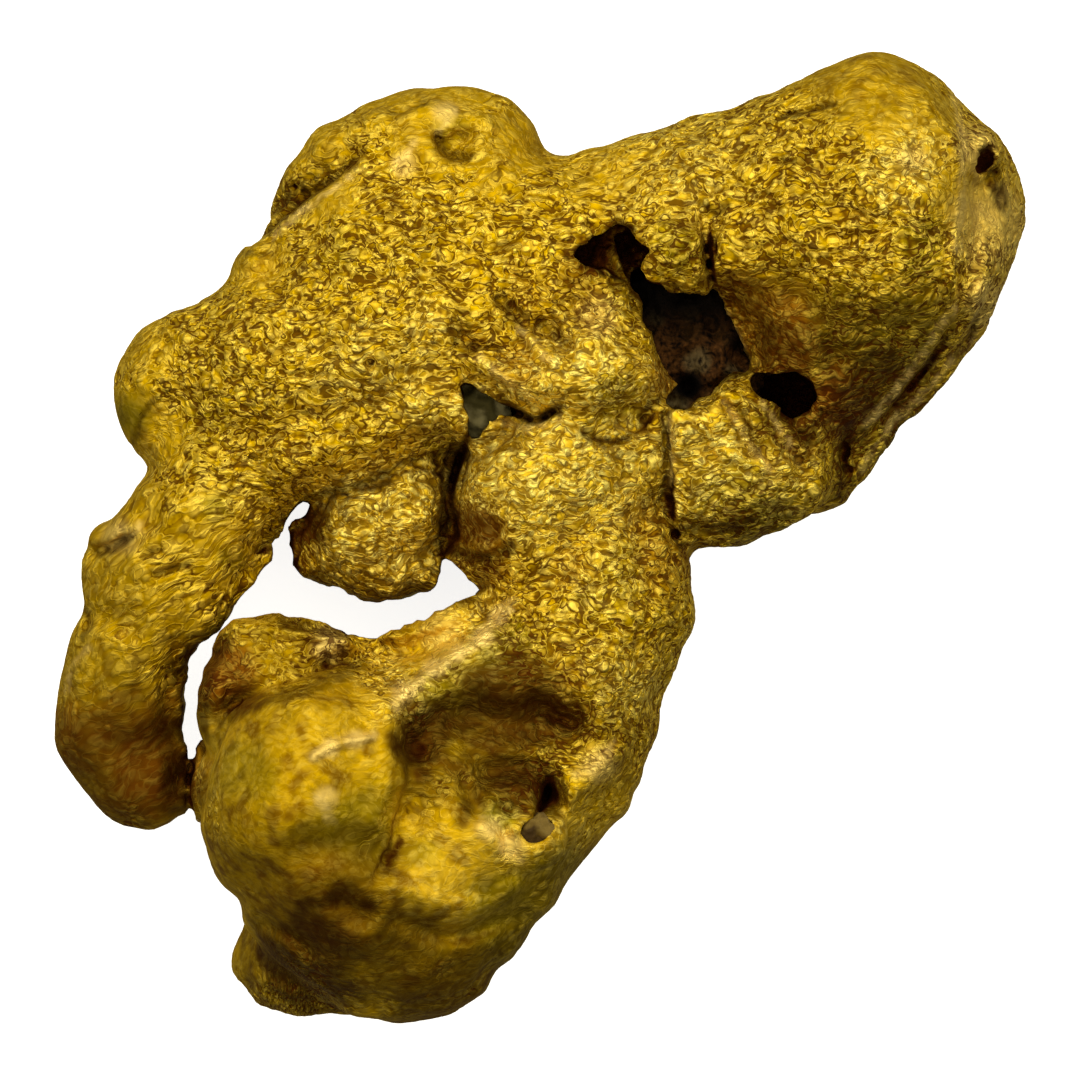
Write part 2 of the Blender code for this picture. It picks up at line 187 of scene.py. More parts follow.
# Small pits: place in mm, half sizes in mm.
PITS = [
    (-3.37, 3.49, 0.1, 0.12), (-3.49, 3.33, 0.06, 0.05), (-2.62, 4.1, 0.12, 0.06),
    (-4.31, 3.21, 0.09, 0.07), (-5.71, 1.63, 0.15, 0.08), (-6.12, 4.02, 0.07, 0.06),
    (-8.32, -1.85, 0.1, 0.09), (-1.59, 4.17, 0.08, 0.07), (-0.56, 4.86, 0.12, 0.07),
    (-1.69, 3.93, 0.1, 0.08), (5.18, 1.59, 0.14, 0.09), (9.31, 6.65, 0.06, 0.08), (8.98, 5.92, 0.06, 0.14),
    (9.52, 6.32, 0.06, 0.14), (-4.9, 7.08, 0.1, 0.08), (-5.13, 6.85, 0.08, 0.07), (2.71, 0.1, 0.14, 0.1),
    (2.95, -0.1, 0.1, 0.08), (8.99, 7.63, 0.15, 0.24), (9.12, 7.26, 0.09, 0.2), (9.25, 6.96, 0.07, 0.12),
    (1.19, 2.02, 0.1, 0.05), (0.3, 4.01, 0.12, 0.07), (4.13, 3.73, 0.05, 0.1), (-3.74, -7.19, 0.09, 0.05),
    (8.86, 7.58, 0.26, 0.36), (9.0, 7.19, 0.15, 0.3), (9.2, 6.88, 0.1, 0.14), (-4.18, -2.29, 0.07, 0.05),
    (-4.02, -2.13, 0.05, 0.04), (-4.51, 7.23, 0.09, 0.07), (-4.73, 6.99, 0.12, 0.1), (-5.0, 6.7, 0.1, 0.07),
    (-5.39, 0.2, 0.16, 0.07), (8.08, 3.79, 0.16, 0.12), (6.11, 1.76, 0.13, 0.22), (6.21, 1.4, 0.12, 0.1),
    (-8.38, -1.87, 0.13, 0.1), (-2.16, 8.46, 0.06, 0.04), (-4.41, 5.25, 0.1, 0.06),
    (-3.85, 2.74, 0.09, 0.04), (-5.87, 1.69, 0.1, 0.06), (5.61, 2.59, 0.1, 0.08), (6.06, 3.88, 0.07, 0.06),
    (-4.15, -2.37, 0.07, 0.05), (-5.06, 6.72, 0.09, 0.06), (-4.6, 7.23, 0.09, 0.06),
    (-5.3, 6.51, 0.08, 0.05),
]

# Creases (depth above zero) and ridges (below zero): depth in mm, half width in mm, path in mm.
CREASES = [
    # under the left body, above the tongue
    (0.12, 0.24, [(-4.79, 0.76), (-4.19, 0.92), (-3.75, 1.04), (-3.23, 1.18), (-2.79, 1.48), (-2.29, 1.6),
        (-1.8, 1.68)]),
    (0.2, 0.4, [(-5.29, 6.71), (-4.88, 7.08), (-4.44, 7.39)]),
    # the left body carries on level to its lower right edge
    (-0.75, 0.95, [(-4.86, 1.47), (-3.99, 1.6), (-3.29, 1.75), (-2.63, 2.07), (-2.03, 2.47)]),
    # the dome falls away to the lower right
    (0.42, 2.0, [(4.96, 3.77), (5.95, 3.33), (6.95, 3.54)]),
    # hump dimple and its lip
    (0.4, 0.4, [(-1.75, 7.85), (-1.55, 8.01)]),
    (0.3, 0.15, [(-2.05, 8.05), (-1.97, 7.79), (-1.73, 7.63), (-1.47, 7.61)]),
    (-0.1, 0.3, [(-2.0, 8.59), (-1.4, 8.55), (-1.0, 8.22)]),
    # centre: recesses above the fold
    (0.34, 0.28, [(0.06, 4.25), (0.32, 4.05), (0.52, 3.77)]),
    (0.2, 0.24, [(-1.63, 4.4), (-1.51, 4.13), (-1.39, 3.87)]),
    (-0.45, 0.95, [(-3.89, 0.04), (-2.79, 0.4)]),
    (-0.34, 0.6, [(-3.75, 0.68), (-2.99, 0.96), (-2.31, 1.12), (-2.24, 0.4)]),
    (-0.3, 0.85, [(-1.19, 3.34), (0.4, 3.07), (1.58, 3.33)]),
    (0.26, 0.22, [(-1.23, 3.81), (-0.67, 3.73), (-0.24, 3.53)]),
    (0.3, 0.2, [(-0.79, 4.8), (-0.52, 4.52), (-0.32, 4.33)]),
    (-0.16, 0.13, [(-0.4, 4.21), (-0.12, 3.91), (0.16, 3.57)]),
    (-0.16, 0.16, [(-1.19, 3.61), (-0.69, 3.21), (0.0, 3.05)]),
    (-0.1, 0.12, [(-0.4, 5.52), (-0.12, 5.16), (0.16, 4.85)]),
    (-0.12, 0.12, [(0.0, 4.76), (0.32, 4.53), (0.67, 4.17)]),
    (0.18, 0.2, [(0.68, 4.77), (0.91, 4.53), (1.03, 4.25)]),
    (-0.12, 0.22, [(-0.6, 6.06), (-0.52, 5.8), (-0.4, 5.52)]),
    (-0.16, 0.26, [(-1.39, 3.47), (-0.79, 3.14), (-0.2, 2.94), (0.4, 3.01)]),
    (0.14, 0.2, [(1.43, 2.81), (1.75, 2.62), (2.03, 2.38)]),
    (0.12, 0.14, [(1.19, 2.58), (1.55, 2.38), (1.87, 2.22)]),
    (0.2, 0.5, [(1.31, 2.3), (1.79, 2.38), (2.14, 2.62)]),
    # folds of the right lump, running down and right
    (0.22, 0.26, [(3.72, 2.68), (4.02, 2.19), (4.21, 1.75)]),
    (-0.16, 0.14, [(4.13, 2.7), (4.42, 2.23), (4.69, 1.75), (4.93, 1.39)]),
    (-0.12, 0.12, [(4.46, 2.79), (4.82, 2.27), (5.3, 1.75)]),
    (0.2, 0.22, [(4.75, 2.6), (5.06, 2.15), (5.42, 1.87)]),
    (-0.1, 0.14, [(3.18, 2.3), (3.42, 1.87), (3.78, 1.67)]),
    (0.14, 0.14, [(3.3, 1.87), (3.54, 1.51), (3.98, 1.39)]),
    # dome
    (0.1, 0.22, [(5.89, 6.57), (6.29, 6.49), (6.72, 6.29)]),
    (0.1, 0.2, [(5.78, 5.97), (6.33, 5.97), (6.96, 6.17)]),
    (0.1, 0.3, [(4.97, 8.51), (5.46, 8.58), (5.91, 8.65)]),
    (0.22, 0.45, [(5.15, 4.75), (5.65, 4.06), (5.85, 3.77)]),
    (-0.14, 0.16, [(7.77, 9.09), (8.15, 8.25), (8.29, 7.44), (8.29, 6.25), (8.13, 4.96), (8.24, 4.53)]),
    (0.2, 0.26, [(3.45, 6.46), (3.35, 5.95), (3.37, 5.16)]),
    (-0.1, 0.4, [(6.49, 8.12), (7.02, 7.71), (7.42, 7.22), (7.52, 6.43)]),
    (0.16, 0.55, [(5.15, 4.95), (6.14, 4.36), (7.14, 4.16)]),
    # slanted smooth wall on the right of the cavity
    (0.8, 0.8, [(3.65, 4.76), (3.93, 4.17), (4.21, 3.53)]),
    (0.35, 0.7, [(3.97, 4.76), (4.46, 4.07), (4.86, 3.53)]),
    # right edge of the centre fold
    (0.3, 0.3, [(2.56, 3.91), (2.72, 3.4), (2.54, 2.82)]),
    # pale rim of the lower right seam
    (-0.08, 0.14, [(8.35, 4.53), (8.03, 4.13), (7.69, 3.66), (7.35, 3.19), (7.0, 2.76), (6.56, 2.32)]),
    (0.2, 0.3, [(8.65, 5.97), (8.5, 5.16), (8.25, 4.37)]),
    # bulb and neck
    (0.35, 0.4, [(-1.76, 0.36), (-1.39, 0.2), (-0.95, 0.16)]),
    (0.22, 0.16, [(-1.88, -0.14), (-1.48, -0.22), (-1.07, -0.34), (-0.69, -0.16)]),
    (0.16, 0.22, [(2.54, 2.48), (2.55, 1.39), (2.47, 0.8), (2.67, 0.0)]),
    (0.2, 0.55, [(2.29, 0.8), (1.99, 0.0), (1.98, -0.99)]),
    # arm streaks
    (0.1, 0.16, [(-7.97, -0.32), (-7.73, -0.18), (-7.45, -0.08)]),
    (0.12, 0.18, [(-7.57, -0.68), (-7.33, -0.56), (-7.05, -0.48)]),
    (0.2, 0.34, [(-8.96, -0.32), (-8.46, -0.2), (-7.97, 0.08), (-7.73, 0.4)]),
    (0.3, 0.3, [(-5.63, -0.1), (-5.43, 0.24), (-5.11, 0.48)]),
    (0.16, 0.4, [(-8.99, -1.44), (-8.58, -1.56), (-8.17, -1.75)]),
    # foot: crest, hollow and lip
    (-0.22, 0.2, [(-0.52, -1.19), (-0.84, -1.51), (-1.15, -1.9), (-1.62, -2.26), (-2.06, -2.53),
        (-2.57, -2.93), (-2.76, -3.2)]),
    (-0.16, 0.13, [(-4.44, -4.25), (-4.13, -4.07), (-3.74, -3.96), (-3.31, -3.88)]),
    (-0.1, 0.12, [(-4.48, -4.81), (-4.28, -5.07), (-4.05, -5.15)]),
    (0.7, 1.2, [(-1.38, -3.4), (-0.59, -3.6), (0.2, -3.76)]),
    (0.25, 0.6, [(-2.37, -4.03), (-1.97, -3.55), (-1.3, -3.24)]),
    (0.4, 0.36, [(-0.04, -3.2), (0.32, -3.46), (0.63, -3.6)]),
    (-0.14, 0.3, [(-3.04, -3.26), (-2.92, -4.04), (-2.99, -4.83), (-3.31, -5.51)]),
    (-0.16, 0.36, [(-4.73, -3.39), (-3.75, -3.24), (-3.08, -3.16)]),
    (-0.6, 0.6, [(9.0, 8.16), (9.2, 7.1), (9.24, 6.1), (8.95, 4.88)]),
    (-0.14, 0.3, [(-2.92, -6.7), (-2.17, -7.1), (-1.19, -7.21), (-0.4, -6.82)]),
    (0.3, 0.35, [(-2.76, -7.5), (-1.78, -7.81), (-0.4, -7.44)]),
    (0.22, 0.6, [(-4.72, -6.09), (-3.93, -6.0), (-3.15, -6.1)]),
    (0.3, 0.5, [(-3.82, -7.19), (-3.7, -7.33), (-3.55, -7.39)]),
    (0.3, 0.7, [(-5.73, -6.71), (-5.24, -7.31), (-4.34, -7.9)]),
    (-0.16, 0.22, [(-0.99, -5.13), (-0.71, -5.33), (-0.48, -5.71)]),
    (-0.12, 0.2, [(-1.18, -5.64), (-0.87, -6.04), (-0.69, -6.44)]),
    (0.2, 0.26, [(-1.46, -4.78), (-1.38, -5.09), (-1.22, -5.36)]),
    (-0.16, 0.3, [(0.67, -4.95), (1.19, -4.6), (1.55, -4.2)]),
    (0.22, 0.4, [(0.69, -3.99), (1.11, -4.12), (1.43, -3.92)]),
    (0.45, 0.42, [(-0.99, -4.58), (-0.4, -4.54), (0.12, -4.74), (0.24, -5.26)]),
    # back of the foot: broken edges
    (-0.2, 0.26, [(-6.2, -1.64), (-5.39, -1.72), (-4.58, -1.87), (-3.88, -1.99)]),
    (-0.12, 0.16, [(-4.66, -1.91), (-4.29, -1.87), (-3.9, -2.03)]),
    (0.2, 0.2, [(-5.04, -1.62), (-4.55, -1.74), (-3.99, -1.83)]),
    (-0.14, 0.18, [(-3.78, -2.03), (-3.0, -1.88), (-2.0, -1.68)]),
    (0.26, 0.26, [(-4.33, -2.42), (-4.06, -2.35), (-3.77, -2.46)]),
    # toe
    (0.34, 0.3, [(-6.09, -7.91), (-5.51, -7.63), (-4.94, -7.81), (-4.55, -8.15)]),
    (-0.1, 0.18, [(-5.78, -8.71), (-5.29, -8.97), (-4.76, -9.21)]),
]

# Sideways pushes of the outer edge: place, radius and shift in mm, and the height in mm that they stop at.
PUSHES = [
    (-5.86, 5.8, 0.55, -0.12, 0.12, 6.0), (-2.04, -0.68, 0.45, 0.12, -0.1, 6.0),
    (-6.74, -5.79, 0.45, -0.1, 0.0, 6.0), (4.29, 8.83, 0.5, -0.03, 0.1, 7.0),
    (0.84, 7.8, 0.5, 0.0, 0.09, 7.0), (-9.65, -2.84, 0.5, -0.08, 0.0, 6.0),
    (2.0, -4.8, 0.4, 0.08, -0.04, 7.0), (6.11, 0.8, 0.35, 0.06, -0.08, 6.0),
    # outwards
    (-5.36, 6.36, 1.0, -0.22, 0.12, 9.0), (-9.42, -4.25, 1.2, -0.18, 0.0, 9.0),
    (6.48, 9.45, 1.4, -0.02, 0.16, 9.0), (9.12, 7.92, 1.1, 0.18, 0.08, 9.0),
    (1.72, 7.87, 1.2, -0.03, 0.16, 9.0), (-9.32, -2.1, 0.9, -0.19, 0.05, 9.0),
    (2.92, -1.6, 0.7, 0.2, 0.0, 9.0), (1.64, -5.36, 0.6, 0.14, -0.1, 9.0),
    (-4.89, -9.38, 0.7, 0.0, -0.12, 9.0), (-3.81, -9.42, 0.5, 0.0, -0.12, 9.0),
    (9.63, 6.82, 0.7, 0.12, 0.0, 9.0), (6.49, 1.32, 0.6, 0.08, -0.06, 9.0),
    (0.16, -7.21, 0.5, 0.1, -0.08, 9.0), (-2.6, 8.96, 0.8, 0.0, 0.08, 9.0),
    (-0.68, 8.84, 0.5, 0.06, 0.08, 9.0), (-1.4, -1.44, 0.8, 0.0, 0.1, 9.0),
    # inwards
    (-7.14, -5.78, 0.7, -0.02, 0.3, 9.0), (4.95, 0.1, 1.1, -0.06, 0.22, 9.0),
    (2.56, -3.24, 0.9, -0.17, 0.0, 9.0), (4.1, 8.88, 1.1, 0.06, -0.17, 9.0),
    (-4.96, 7.8, 0.7, 0.12, -0.08, 9.0), (-3.97, 8.66, 0.6, 0.06, -0.13, 9.0),
    (0.12, 7.96, 0.5, -0.04, -0.15, 9.0), (-6.01, -9.12, 0.5, 0.12, 0.1, 9.0),
    (-0.84, -8.7, 0.5, -0.1, 0.12, 9.0), (-7.94, 1.46, 0.45, 0.16, 0.0, 9.0),
    (7.33, 2.26, 0.5, -0.1, 0.08, 9.0), (3.16, -0.26, 0.4, -0.14, 0.04, 9.0),
    (-6.97, 4.86, 0.5, 0.04, -0.12, 9.0), (-6.15, -7.27, 0.5, 0.16, 0.03, 9.0),
    (-8.36, 3.92, 0.5, 0.09, 0.0, 9.0), (-6.5, 5.06, 0.5, 0.04, -0.08, 9.0),
]

# Patches of the surface: place in mm, radius in mm, strength. First the places that are rubbed smooth.
BURNISHED = [
    (-5.8, 5.56, 0.7, 0.5), (-2.2, 8.84, 1.5, 0.6), (6.57, 9.31, 1.4, 0.7), (-4.19, 6.82, 0.5, 0.6),
    (-4.61, 8.01, 0.9, 0.5), (-0.4, 7.99, 0.9, 0.6), (-1.0, 7.47, 0.9, 0.4), (1.2, 7.38, 0.8, 0.4),
    (-7.98, 0.4, 1.0, 0.45), (-8.58, -0.8, 1.1, 0.55), (-7.77, -1.59, 1.2, 0.5), (-8.79, -2.8, 1.3, 0.65),
    (-8.4, -4.2, 1.7, 0.85), (-8.86, 0.1, 0.4, 0.8), (-6.77, 0.0, 1.0, 0.45), (-7.61, -5.21, 0.8, 0.8),
    (8.77, 6.77, 0.9, 0.6), (4.76, 4.36, 1.0, 0.45), (6.15, 3.77, 1.2, 0.2), (7.33, 4.55, 0.9, 0.3),
    (-1.19, 0.1, 0.6, 0.3), (-4.72, -6.09, 2.6, 0.9), (-2.17, -7.1, 2.6, 0.8), (-5.31, -4.33, 1.8, 0.9),
    (-3.35, -4.73, 1.6, 0.8), (-5.57, -2.39, 1.1, 0.4), (-0.99, -3.56, 1.4, 0.7), (-8.2, 2.5, 0.6, 0.9),
    (-2.77, -8.1, 1.8, 0.8), (0.0, -6.54, 1.6, 0.6), (-2.19, -1.99, 0.9, 0.5), (-4.14, -3.54, 1.0, 0.8),
    (1.19, -5.16, 1.2, 0.4), (-7.79, 2.0, 0.7, 0.5), (-7.99, 3.8, 0.7, 0.4), (-5.82, -8.02, 0.9, 0.8),
    (7.64, 8.53, 0.7, 0.5), (5.15, 3.96, 0.7, 0.4),
]

# A thin green film.
OLIVE = [
    (-6.47, 0.64, 0.3, 0.6), (-6.22, -0.4, 0.3, 0.5), (-1.99, 2.09, 0.4, 0.6), (7.56, 5.97, 0.5, 0.6),
    (7.52, 5.46, 0.4, 0.6), (1.19, -1.09, 0.8, 0.3), (-0.69, -2.08, 0.7, 0.7), (-1.68, -2.96, 0.9, 0.6),
    (5.55, 4.16, 1.0, 0.4), (-8.24, 2.5, 0.5, 0.6), (-0.79, -5.37, 0.35, 0.9), (-3.74, -5.8, 1.0, 0.55),
    (-2.37, -6.11, 0.5, 0.4), (7.14, 3.97, 0.9, 0.5), (4.38, 0.4, 0.9, 0.6), (-5.91, -4.53, 0.7, 0.4),
    (-1.79, 8.22, 0.4, 0.4), (2.78, 5.85, 0.6, 0.5), (-0.4, -7.75, 1.2, 0.6), (0.4, -6.77, 0.8, 0.6),
    (1.59, 2.77, 0.5, 0.4), (1.59, -0.79, 1.0, 0.3), (3.78, 0.8, 0.8, 0.5), (-6.57, 2.39, 0.5, 0.3),
    (-3.97, 5.76, 0.6, 0.25), (6.81, 2.2, 0.6, 0.6),
]

# An orange film.
RUST = [
    (5.84, 2.78, 0.8, 1.0), (4.46, 4.26, 1.0, 0.8), (3.93, 4.84, 0.6, 0.7), (4.88, 3.73, 0.8, 0.9),
    (-1.23, 0.2, 0.6, 0.8), (2.55, -0.4, 0.6, 0.5), (-4.81, -0.4, 0.4, 0.4), (2.55, 3.29, 0.4, 0.7),
    (5.18, 1.89, 0.5, 0.5), (-6.44, -2.7, 0.8, 0.9), (2.39, -0.6, 0.7, 0.4), (-1.19, -0.4, 0.6, 0.5),
    (0.69, -0.6, 0.5, 0.3), (0.99, 5.52, 0.5, 0.5), (-0.5, 3.37, 0.5, 0.4), (-1.39, 3.97, 0.3, 0.4),
    (-4.14, -7.09, 1.2, 0.3), (0.0, -3.16, 0.9, 0.5), (-7.81, -4.4, 1.2, 0.85), (-8.9, -4.0, 1.0, 0.7),
    (-8.11, -5.01, 0.9, 0.8), (2.09, 0.4, 0.6, 0.4), (-0.4, 4.76, 0.5, 0.3),
]

# A dark brown film, and painted shade: it also darkens the foot, the arm's tip and the dome's lower right
# slope.
UMBER_AND_SHADE = [
    (-4.7, 0.2, 0.45, 0.85), (-8.57, -4.61, 1.8, 0.66), (-8.17, -1.0, 2.2, 0.2), (-8.78, -2.4, 1.2, 0.26),
    (-8.39, -3.2, 0.9, 0.45), (-7.41, -5.0, 0.8, 0.75), (-9.0, -3.7, 0.7, 0.4), (-4.55, -8.25, 1.5, 0.92),
    (-1.79, -9.14, 1.6, 0.75), (-2.77, -8.1, 1.3, 0.7), (-6.03, -8.94, 0.9, 0.1), (-0.59, -3.4, 1.4, 0.88),
    (-2.27, -3.91, 0.8, 0.92), (0.4, -3.56, 0.7, 0.85), (-6.29, -2.63, 1.1, 0.45), (-4.97, -2.29, 1.0, 0.4),
    (-5.72, -6.51, 1.4, 0.35), (-3.74, -7.19, 0.8, 0.7), (-6.26, -6.76, 1.0, 0.15),
    (-0.3, -4.84, 0.8, 0.92), (-4.71, -5.11, 2.0, 0.1), (-3.35, -6.3, 0.9, 0.55), (-4.72, -6.09, 1.0, 0.4),
    (4.96, 3.77, 1.0, 0.65), (5.95, 3.86, 1.1, 0.72), (6.77, 3.09, 1.2, 0.88), (0.99, 5.52, 0.5, 0.6),
    (-4.96, 6.92, 0.5, 0.4), (1.19, -2.97, 0.9, 0.15), (4.39, 0.2, 0.9, 0.45), (3.87, 4.76, 0.6, 0.45),
    (-1.23, 0.28, 0.6, 0.5), (-1.4, -0.7, 0.6, 0.6), (-8.59, -0.1, 0.25, 0.3), (4.55, 5.94, 0.6, 0.2),
    (6.3, 2.2, 0.6, 0.85), (3.17, 5.36, 0.5, 0.4), (0.0, -8.2, 1.2, 0.5), (1.99, -4.38, 0.9, 0.3),
    (0.4, 3.97, 0.3, 0.3), (-0.5, 4.52, 0.25, 0.4), (-1.59, 4.27, 0.25, 0.5), (-1.18, -4.54, 0.9, 0.75),
    (5.74, 7.72, 1.0, 0.15), (2.98, 5.95, 0.7, 0.25), (7.57, 4.46, 1.0, 0.48), (4.88, 2.43, 0.8, 0.7),
    (6.4, 1.2, 0.9, 0.5), (5.4, 9.6, 0.5, 0.2), (0.8, -6.8, 1.0, 0.45), (-8.8, 2.4, 0.6, 0.2),
    (7.62, 2.81, 0.9, 0.4), (-2.17, -4.34, 0.9, 0.7), (-0.49, -4.74, 0.8, 0.8), (0.59, -3.17, 1.3, 0.35),
    (-4.72, -4.33, 1.5, 0.15), (5.18, 2.79, 0.8, 0.5),
]

# Painted highlights: edges and spots that catch the light, painted pale.
PAINTED_HIGHLIGHTS = [
    (9.09, 6.19, 0.9, 0.4), (8.66, 7.77, 0.5, 0.5), (8.76, 6.37, 0.7, 0.35), (8.88, 4.79, 0.5, 0.6),
    (1.19, 4.47, 0.4, 0.4), (-8.42, 0.1, 0.4, 0.5), (-4.18, -2.03, 0.35, 0.7), (-1.9, -1.84, 0.5, 0.3),
    (-0.8, -1.51, 0.22, 1.0), (-1.15, -1.88, 0.22, 1.0), (-1.63, -2.24, 0.2, 0.9), (-2.1, -2.53, 0.2, 0.9),
    (-2.69, -3.04, 0.24, 1.0), (-4.13, -4.09, 0.18, 0.8), (-3.64, -3.94, 0.2, 0.8),
    (-4.22, -5.07, 0.2, 0.5), (-0.59, -6.04, 0.3, 0.6), (-0.99, -5.72, 0.25, 0.6), (1.19, -4.46, 0.35, 0.5),
    (-1.9, 8.55, 0.25, 0.6), (-2.73, 7.47, 0.25, 0.5), (7.36, 7.52, 0.35, 0.5),
]

# Places rubbed clean, brighter than the rest, and painted light on places that lie in shade, such as the
# tongue under the body.
CLEAN_AND_PAINTED_LIGHT = [
    (0.0, 1.39, 1.7, 0.9), (-3.29, 0.2, 1.2, 0.9), (3.18, 1.69, 1.2, 0.9), (1.39, 1.39, 1.3, 0.8),
    (0.99, 3.37, 1.2, 0.7), (-0.4, 2.78, 1.0, 0.7), (2.19, 1.39, 0.8, 0.6), (1.19, -0.2, 1.3, 0.4),
    (4.77, 1.19, 0.8, 0.6), (7.22, 7.42, 0.9, 0.8), (2.59, 7.56, 1.3, 0.4), (-2.38, 2.78, 1.0, 0.6),
    (-3.77, 3.57, 1.0, 0.4), (-2.18, 4.16, 0.6, 0.7), (1.59, -2.77, 0.8, 0.6), (-0.79, -5.92, 0.7, 0.6),
    (-1.97, -6.71, 1.0, 0.6), (-1.39, -1.98, 0.9, 0.8), (-2.77, -2.97, 0.8, 0.7), (-4.13, -3.94, 0.8, 0.25),
    (-6.29, -4.25, 0.8, 0.5), (-0.79, 1.19, 1.2, 0.9), (0.4, 3.27, 1.0, 0.9), (-2.79, 0.8, 0.9, 0.9),
    (-2.79, -0.4, 0.9, 0.9), (-3.79, 0.6, 0.7, 0.8), (-1.39, 2.79, 0.6, 0.8), (1.98, 3.17, 0.6, 0.7),
    (0.4, -5.94, 0.6, 0.5), (-6.17, 0.8, 0.8, 0.2), (9.09, 6.39, 1.0, 0.3),
]

# Dark lines beside cracks and under edges, partly old grime and partly painted shade at the foot of steps and
# under overhanging edges: half width in mm, share, path in mm.
DIRT_AND_SHADE_LINES = [
    (0.09, 0.9, [(-5.44, 6.18), (-5.1, 6.52), (-4.75, 6.79), (-4.35, 7.05), (-3.99, 7.32), (-3.67, 7.58)]),
    (0.2, 0.6, [(-5.15, 6.55), (-4.98, 6.82), (-4.8, 7.03), (-4.53, 7.21), (-4.35, 7.35)]),
    (0.07, 0.7, [(-1.76, 1.76), (-2.29, 1.66), (-2.79, 1.52), (-3.23, 1.24), (-3.75, 1.08), (-4.19, 0.98),
        (-4.59, 0.88)]),
    (0.1, 1.0, [(-1.98, -0.32), (-1.88, 0.56), (-1.82, 1.0), (-1.72, 1.46), (-1.56, 1.82), (-1.32, 2.19)]),
    (0.1, 0.9, [(-0.8, 2.79), (-0.2, 2.4), (0.12, 2.48), (0.4, 2.62)]),
    (0.09, 0.9, [(0.87, 2.1), (1.13, 2.02), (1.43, 1.96), (1.75, 2.03)]),
    (0.08, 0.8, [(1.99, 2.38), (2.14, 2.66), (2.38, 2.82)]),
    (0.07, 0.9, [(2.46, 2.54), (2.52, 1.71), (2.49, 1.0), (2.55, 0.52), (2.79, -0.1)]),
    (0.12, 0.8, [(2.71, 0.2), (3.19, 0.32), (3.71, 0.24), (4.18, 0.4)]),
    (0.1, 0.9, [(3.29, 6.65), (3.53, 6.5), (3.69, 6.66)]),
    (0.09, 0.9, [(0.56, 5.64), (0.87, 5.88), (1.27, 6.12), (1.51, 6.32), (1.87, 6.16)]),
    (0.07, 0.9, [(0.83, 5.42), (1.19, 5.33), (1.59, 5.19)]),
    (0.07, 0.9, [(8.19, 4.18), (7.97, 3.84), (7.75, 3.48), (7.44, 3.08), (7.13, 2.72)]),
    (0.09, 0.8, [(8.71, 4.43), (8.62, 4.05), (8.38, 3.69)]),
    (0.14, 0.8, [(6.16, 2.08), (6.06, 1.76), (6.13, 1.28), (5.98, 0.92)]),
    (0.07, 0.8, [(4.75, 8.41), (5.17, 8.5), (5.84, 8.67)]),
    (0.07, 0.6, [(-2.94, 8.55), (-2.56, 8.63), (-2.28, 8.76)]),
    (0.08, 0.6, [(4.76, 7.53), (5.15, 7.49), (5.39, 7.73)]),
    (0.12, 0.6, [(-1.75, 4.17), (-1.59, 3.87), (-1.39, 3.73)]),
    (0.14, 0.5, [(-0.83, 4.76), (-0.56, 4.45), (-0.4, 4.17)]),
    (0.17, 0.9, [(8.86, 7.7), (8.96, 7.43), (9.09, 7.07), (9.2, 6.72)]),
    (0.1, 0.5, [(-0.08, 4.37), (0.24, 4.17), (0.52, 3.89)]),
    (0.09, 0.6, [(-6.0, 5.76), (-5.68, 5.68), (-5.4, 5.72)]),
    (0.13, 0.8, [(-1.88, -0.16), (-1.39, -0.32), (-0.95, -0.36), (-0.56, -0.12)]),
    (0.12, 0.7, [(-5.1, -1.64), (-4.69, -1.72), (-4.29, -1.8), (-3.89, -1.85)]),
    (0.16, 0.7, [(-6.69, -3.9), (-6.72, -3.2), (-6.56, -2.5), (-6.28, -2.0)]),
    (0.14, 0.6, [(-6.35, -3.63), (-5.74, -3.28), (-4.93, -3.04), (-4.15, -2.77), (-3.54, -2.46)]),
    (0.24, 0.4, [(-2.68, -4.04), (-2.37, -3.85), (-1.86, -3.59), (-1.18, -3.32), (-0.4, -3.24),
        (0.32, -3.48)]),
    (0.22, 0.5, [(-1.38, -5.13), (-0.99, -4.82), (-0.4, -4.66), (0.1, -4.86), (0.2, -5.38)]),
    (0.16, 0.6, [(-1.54, -5.52), (-1.46, -5.25), (-1.22, -5.03)]),
    (0.18, 0.7, [(-2.57, -3.95), (-2.52, -4.44), (-2.29, -4.64)]),
    (0.12, 0.7, [(-4.73, -7.2), (-3.94, -7.09), (-3.31, -7.21)]),
    (0.09, 0.8, [(-8.84, -0.24), (-8.54, -0.18), (-8.18, 0.08)]),
    (0.07, 0.8, [(-7.91, -0.34), (-7.73, -0.24), (-7.51, -0.16)]),
    (0.07, 0.8, [(-7.65, -0.68), (-7.33, -0.58), (-6.97, -0.48)]),
    (0.08, 0.6, [(-9.12, -1.4), (-9.05, -1.64), (-9.12, -1.92)]),
    (0.16, 0.6, [(-7.05, -4.45), (-7.37, -4.64), (-7.49, -5.05)]),
    (0.1, 0.6, [(-5.15, 0.4), (-5.36, 0.04), (-5.56, -0.16)]),
    (0.07, 0.7, [(-8.12, 1.92), (-8.06, 2.24), (-7.91, 2.52), (-7.7, 2.77), (-7.38, 3.01)]),
    (0.12, 0.7, [(-2.05, 8.05), (-1.97, 7.79), (-1.73, 7.63), (-1.43, 7.65)]),
    (0.12, 0.5, [(5.61, 2.43), (6.01, 2.59), (6.2, 2.2)]),
    (0.1, 0.7, [(3.52, 3.2), (3.87, 3.29), (4.21, 3.34)]),
    (0.08, 0.6, [(3.93, 2.66), (4.18, 2.19), (4.33, 1.75)]),
    (0.08, 0.5, [(4.87, 2.55), (5.14, 2.11), (5.42, 1.87)]),
]
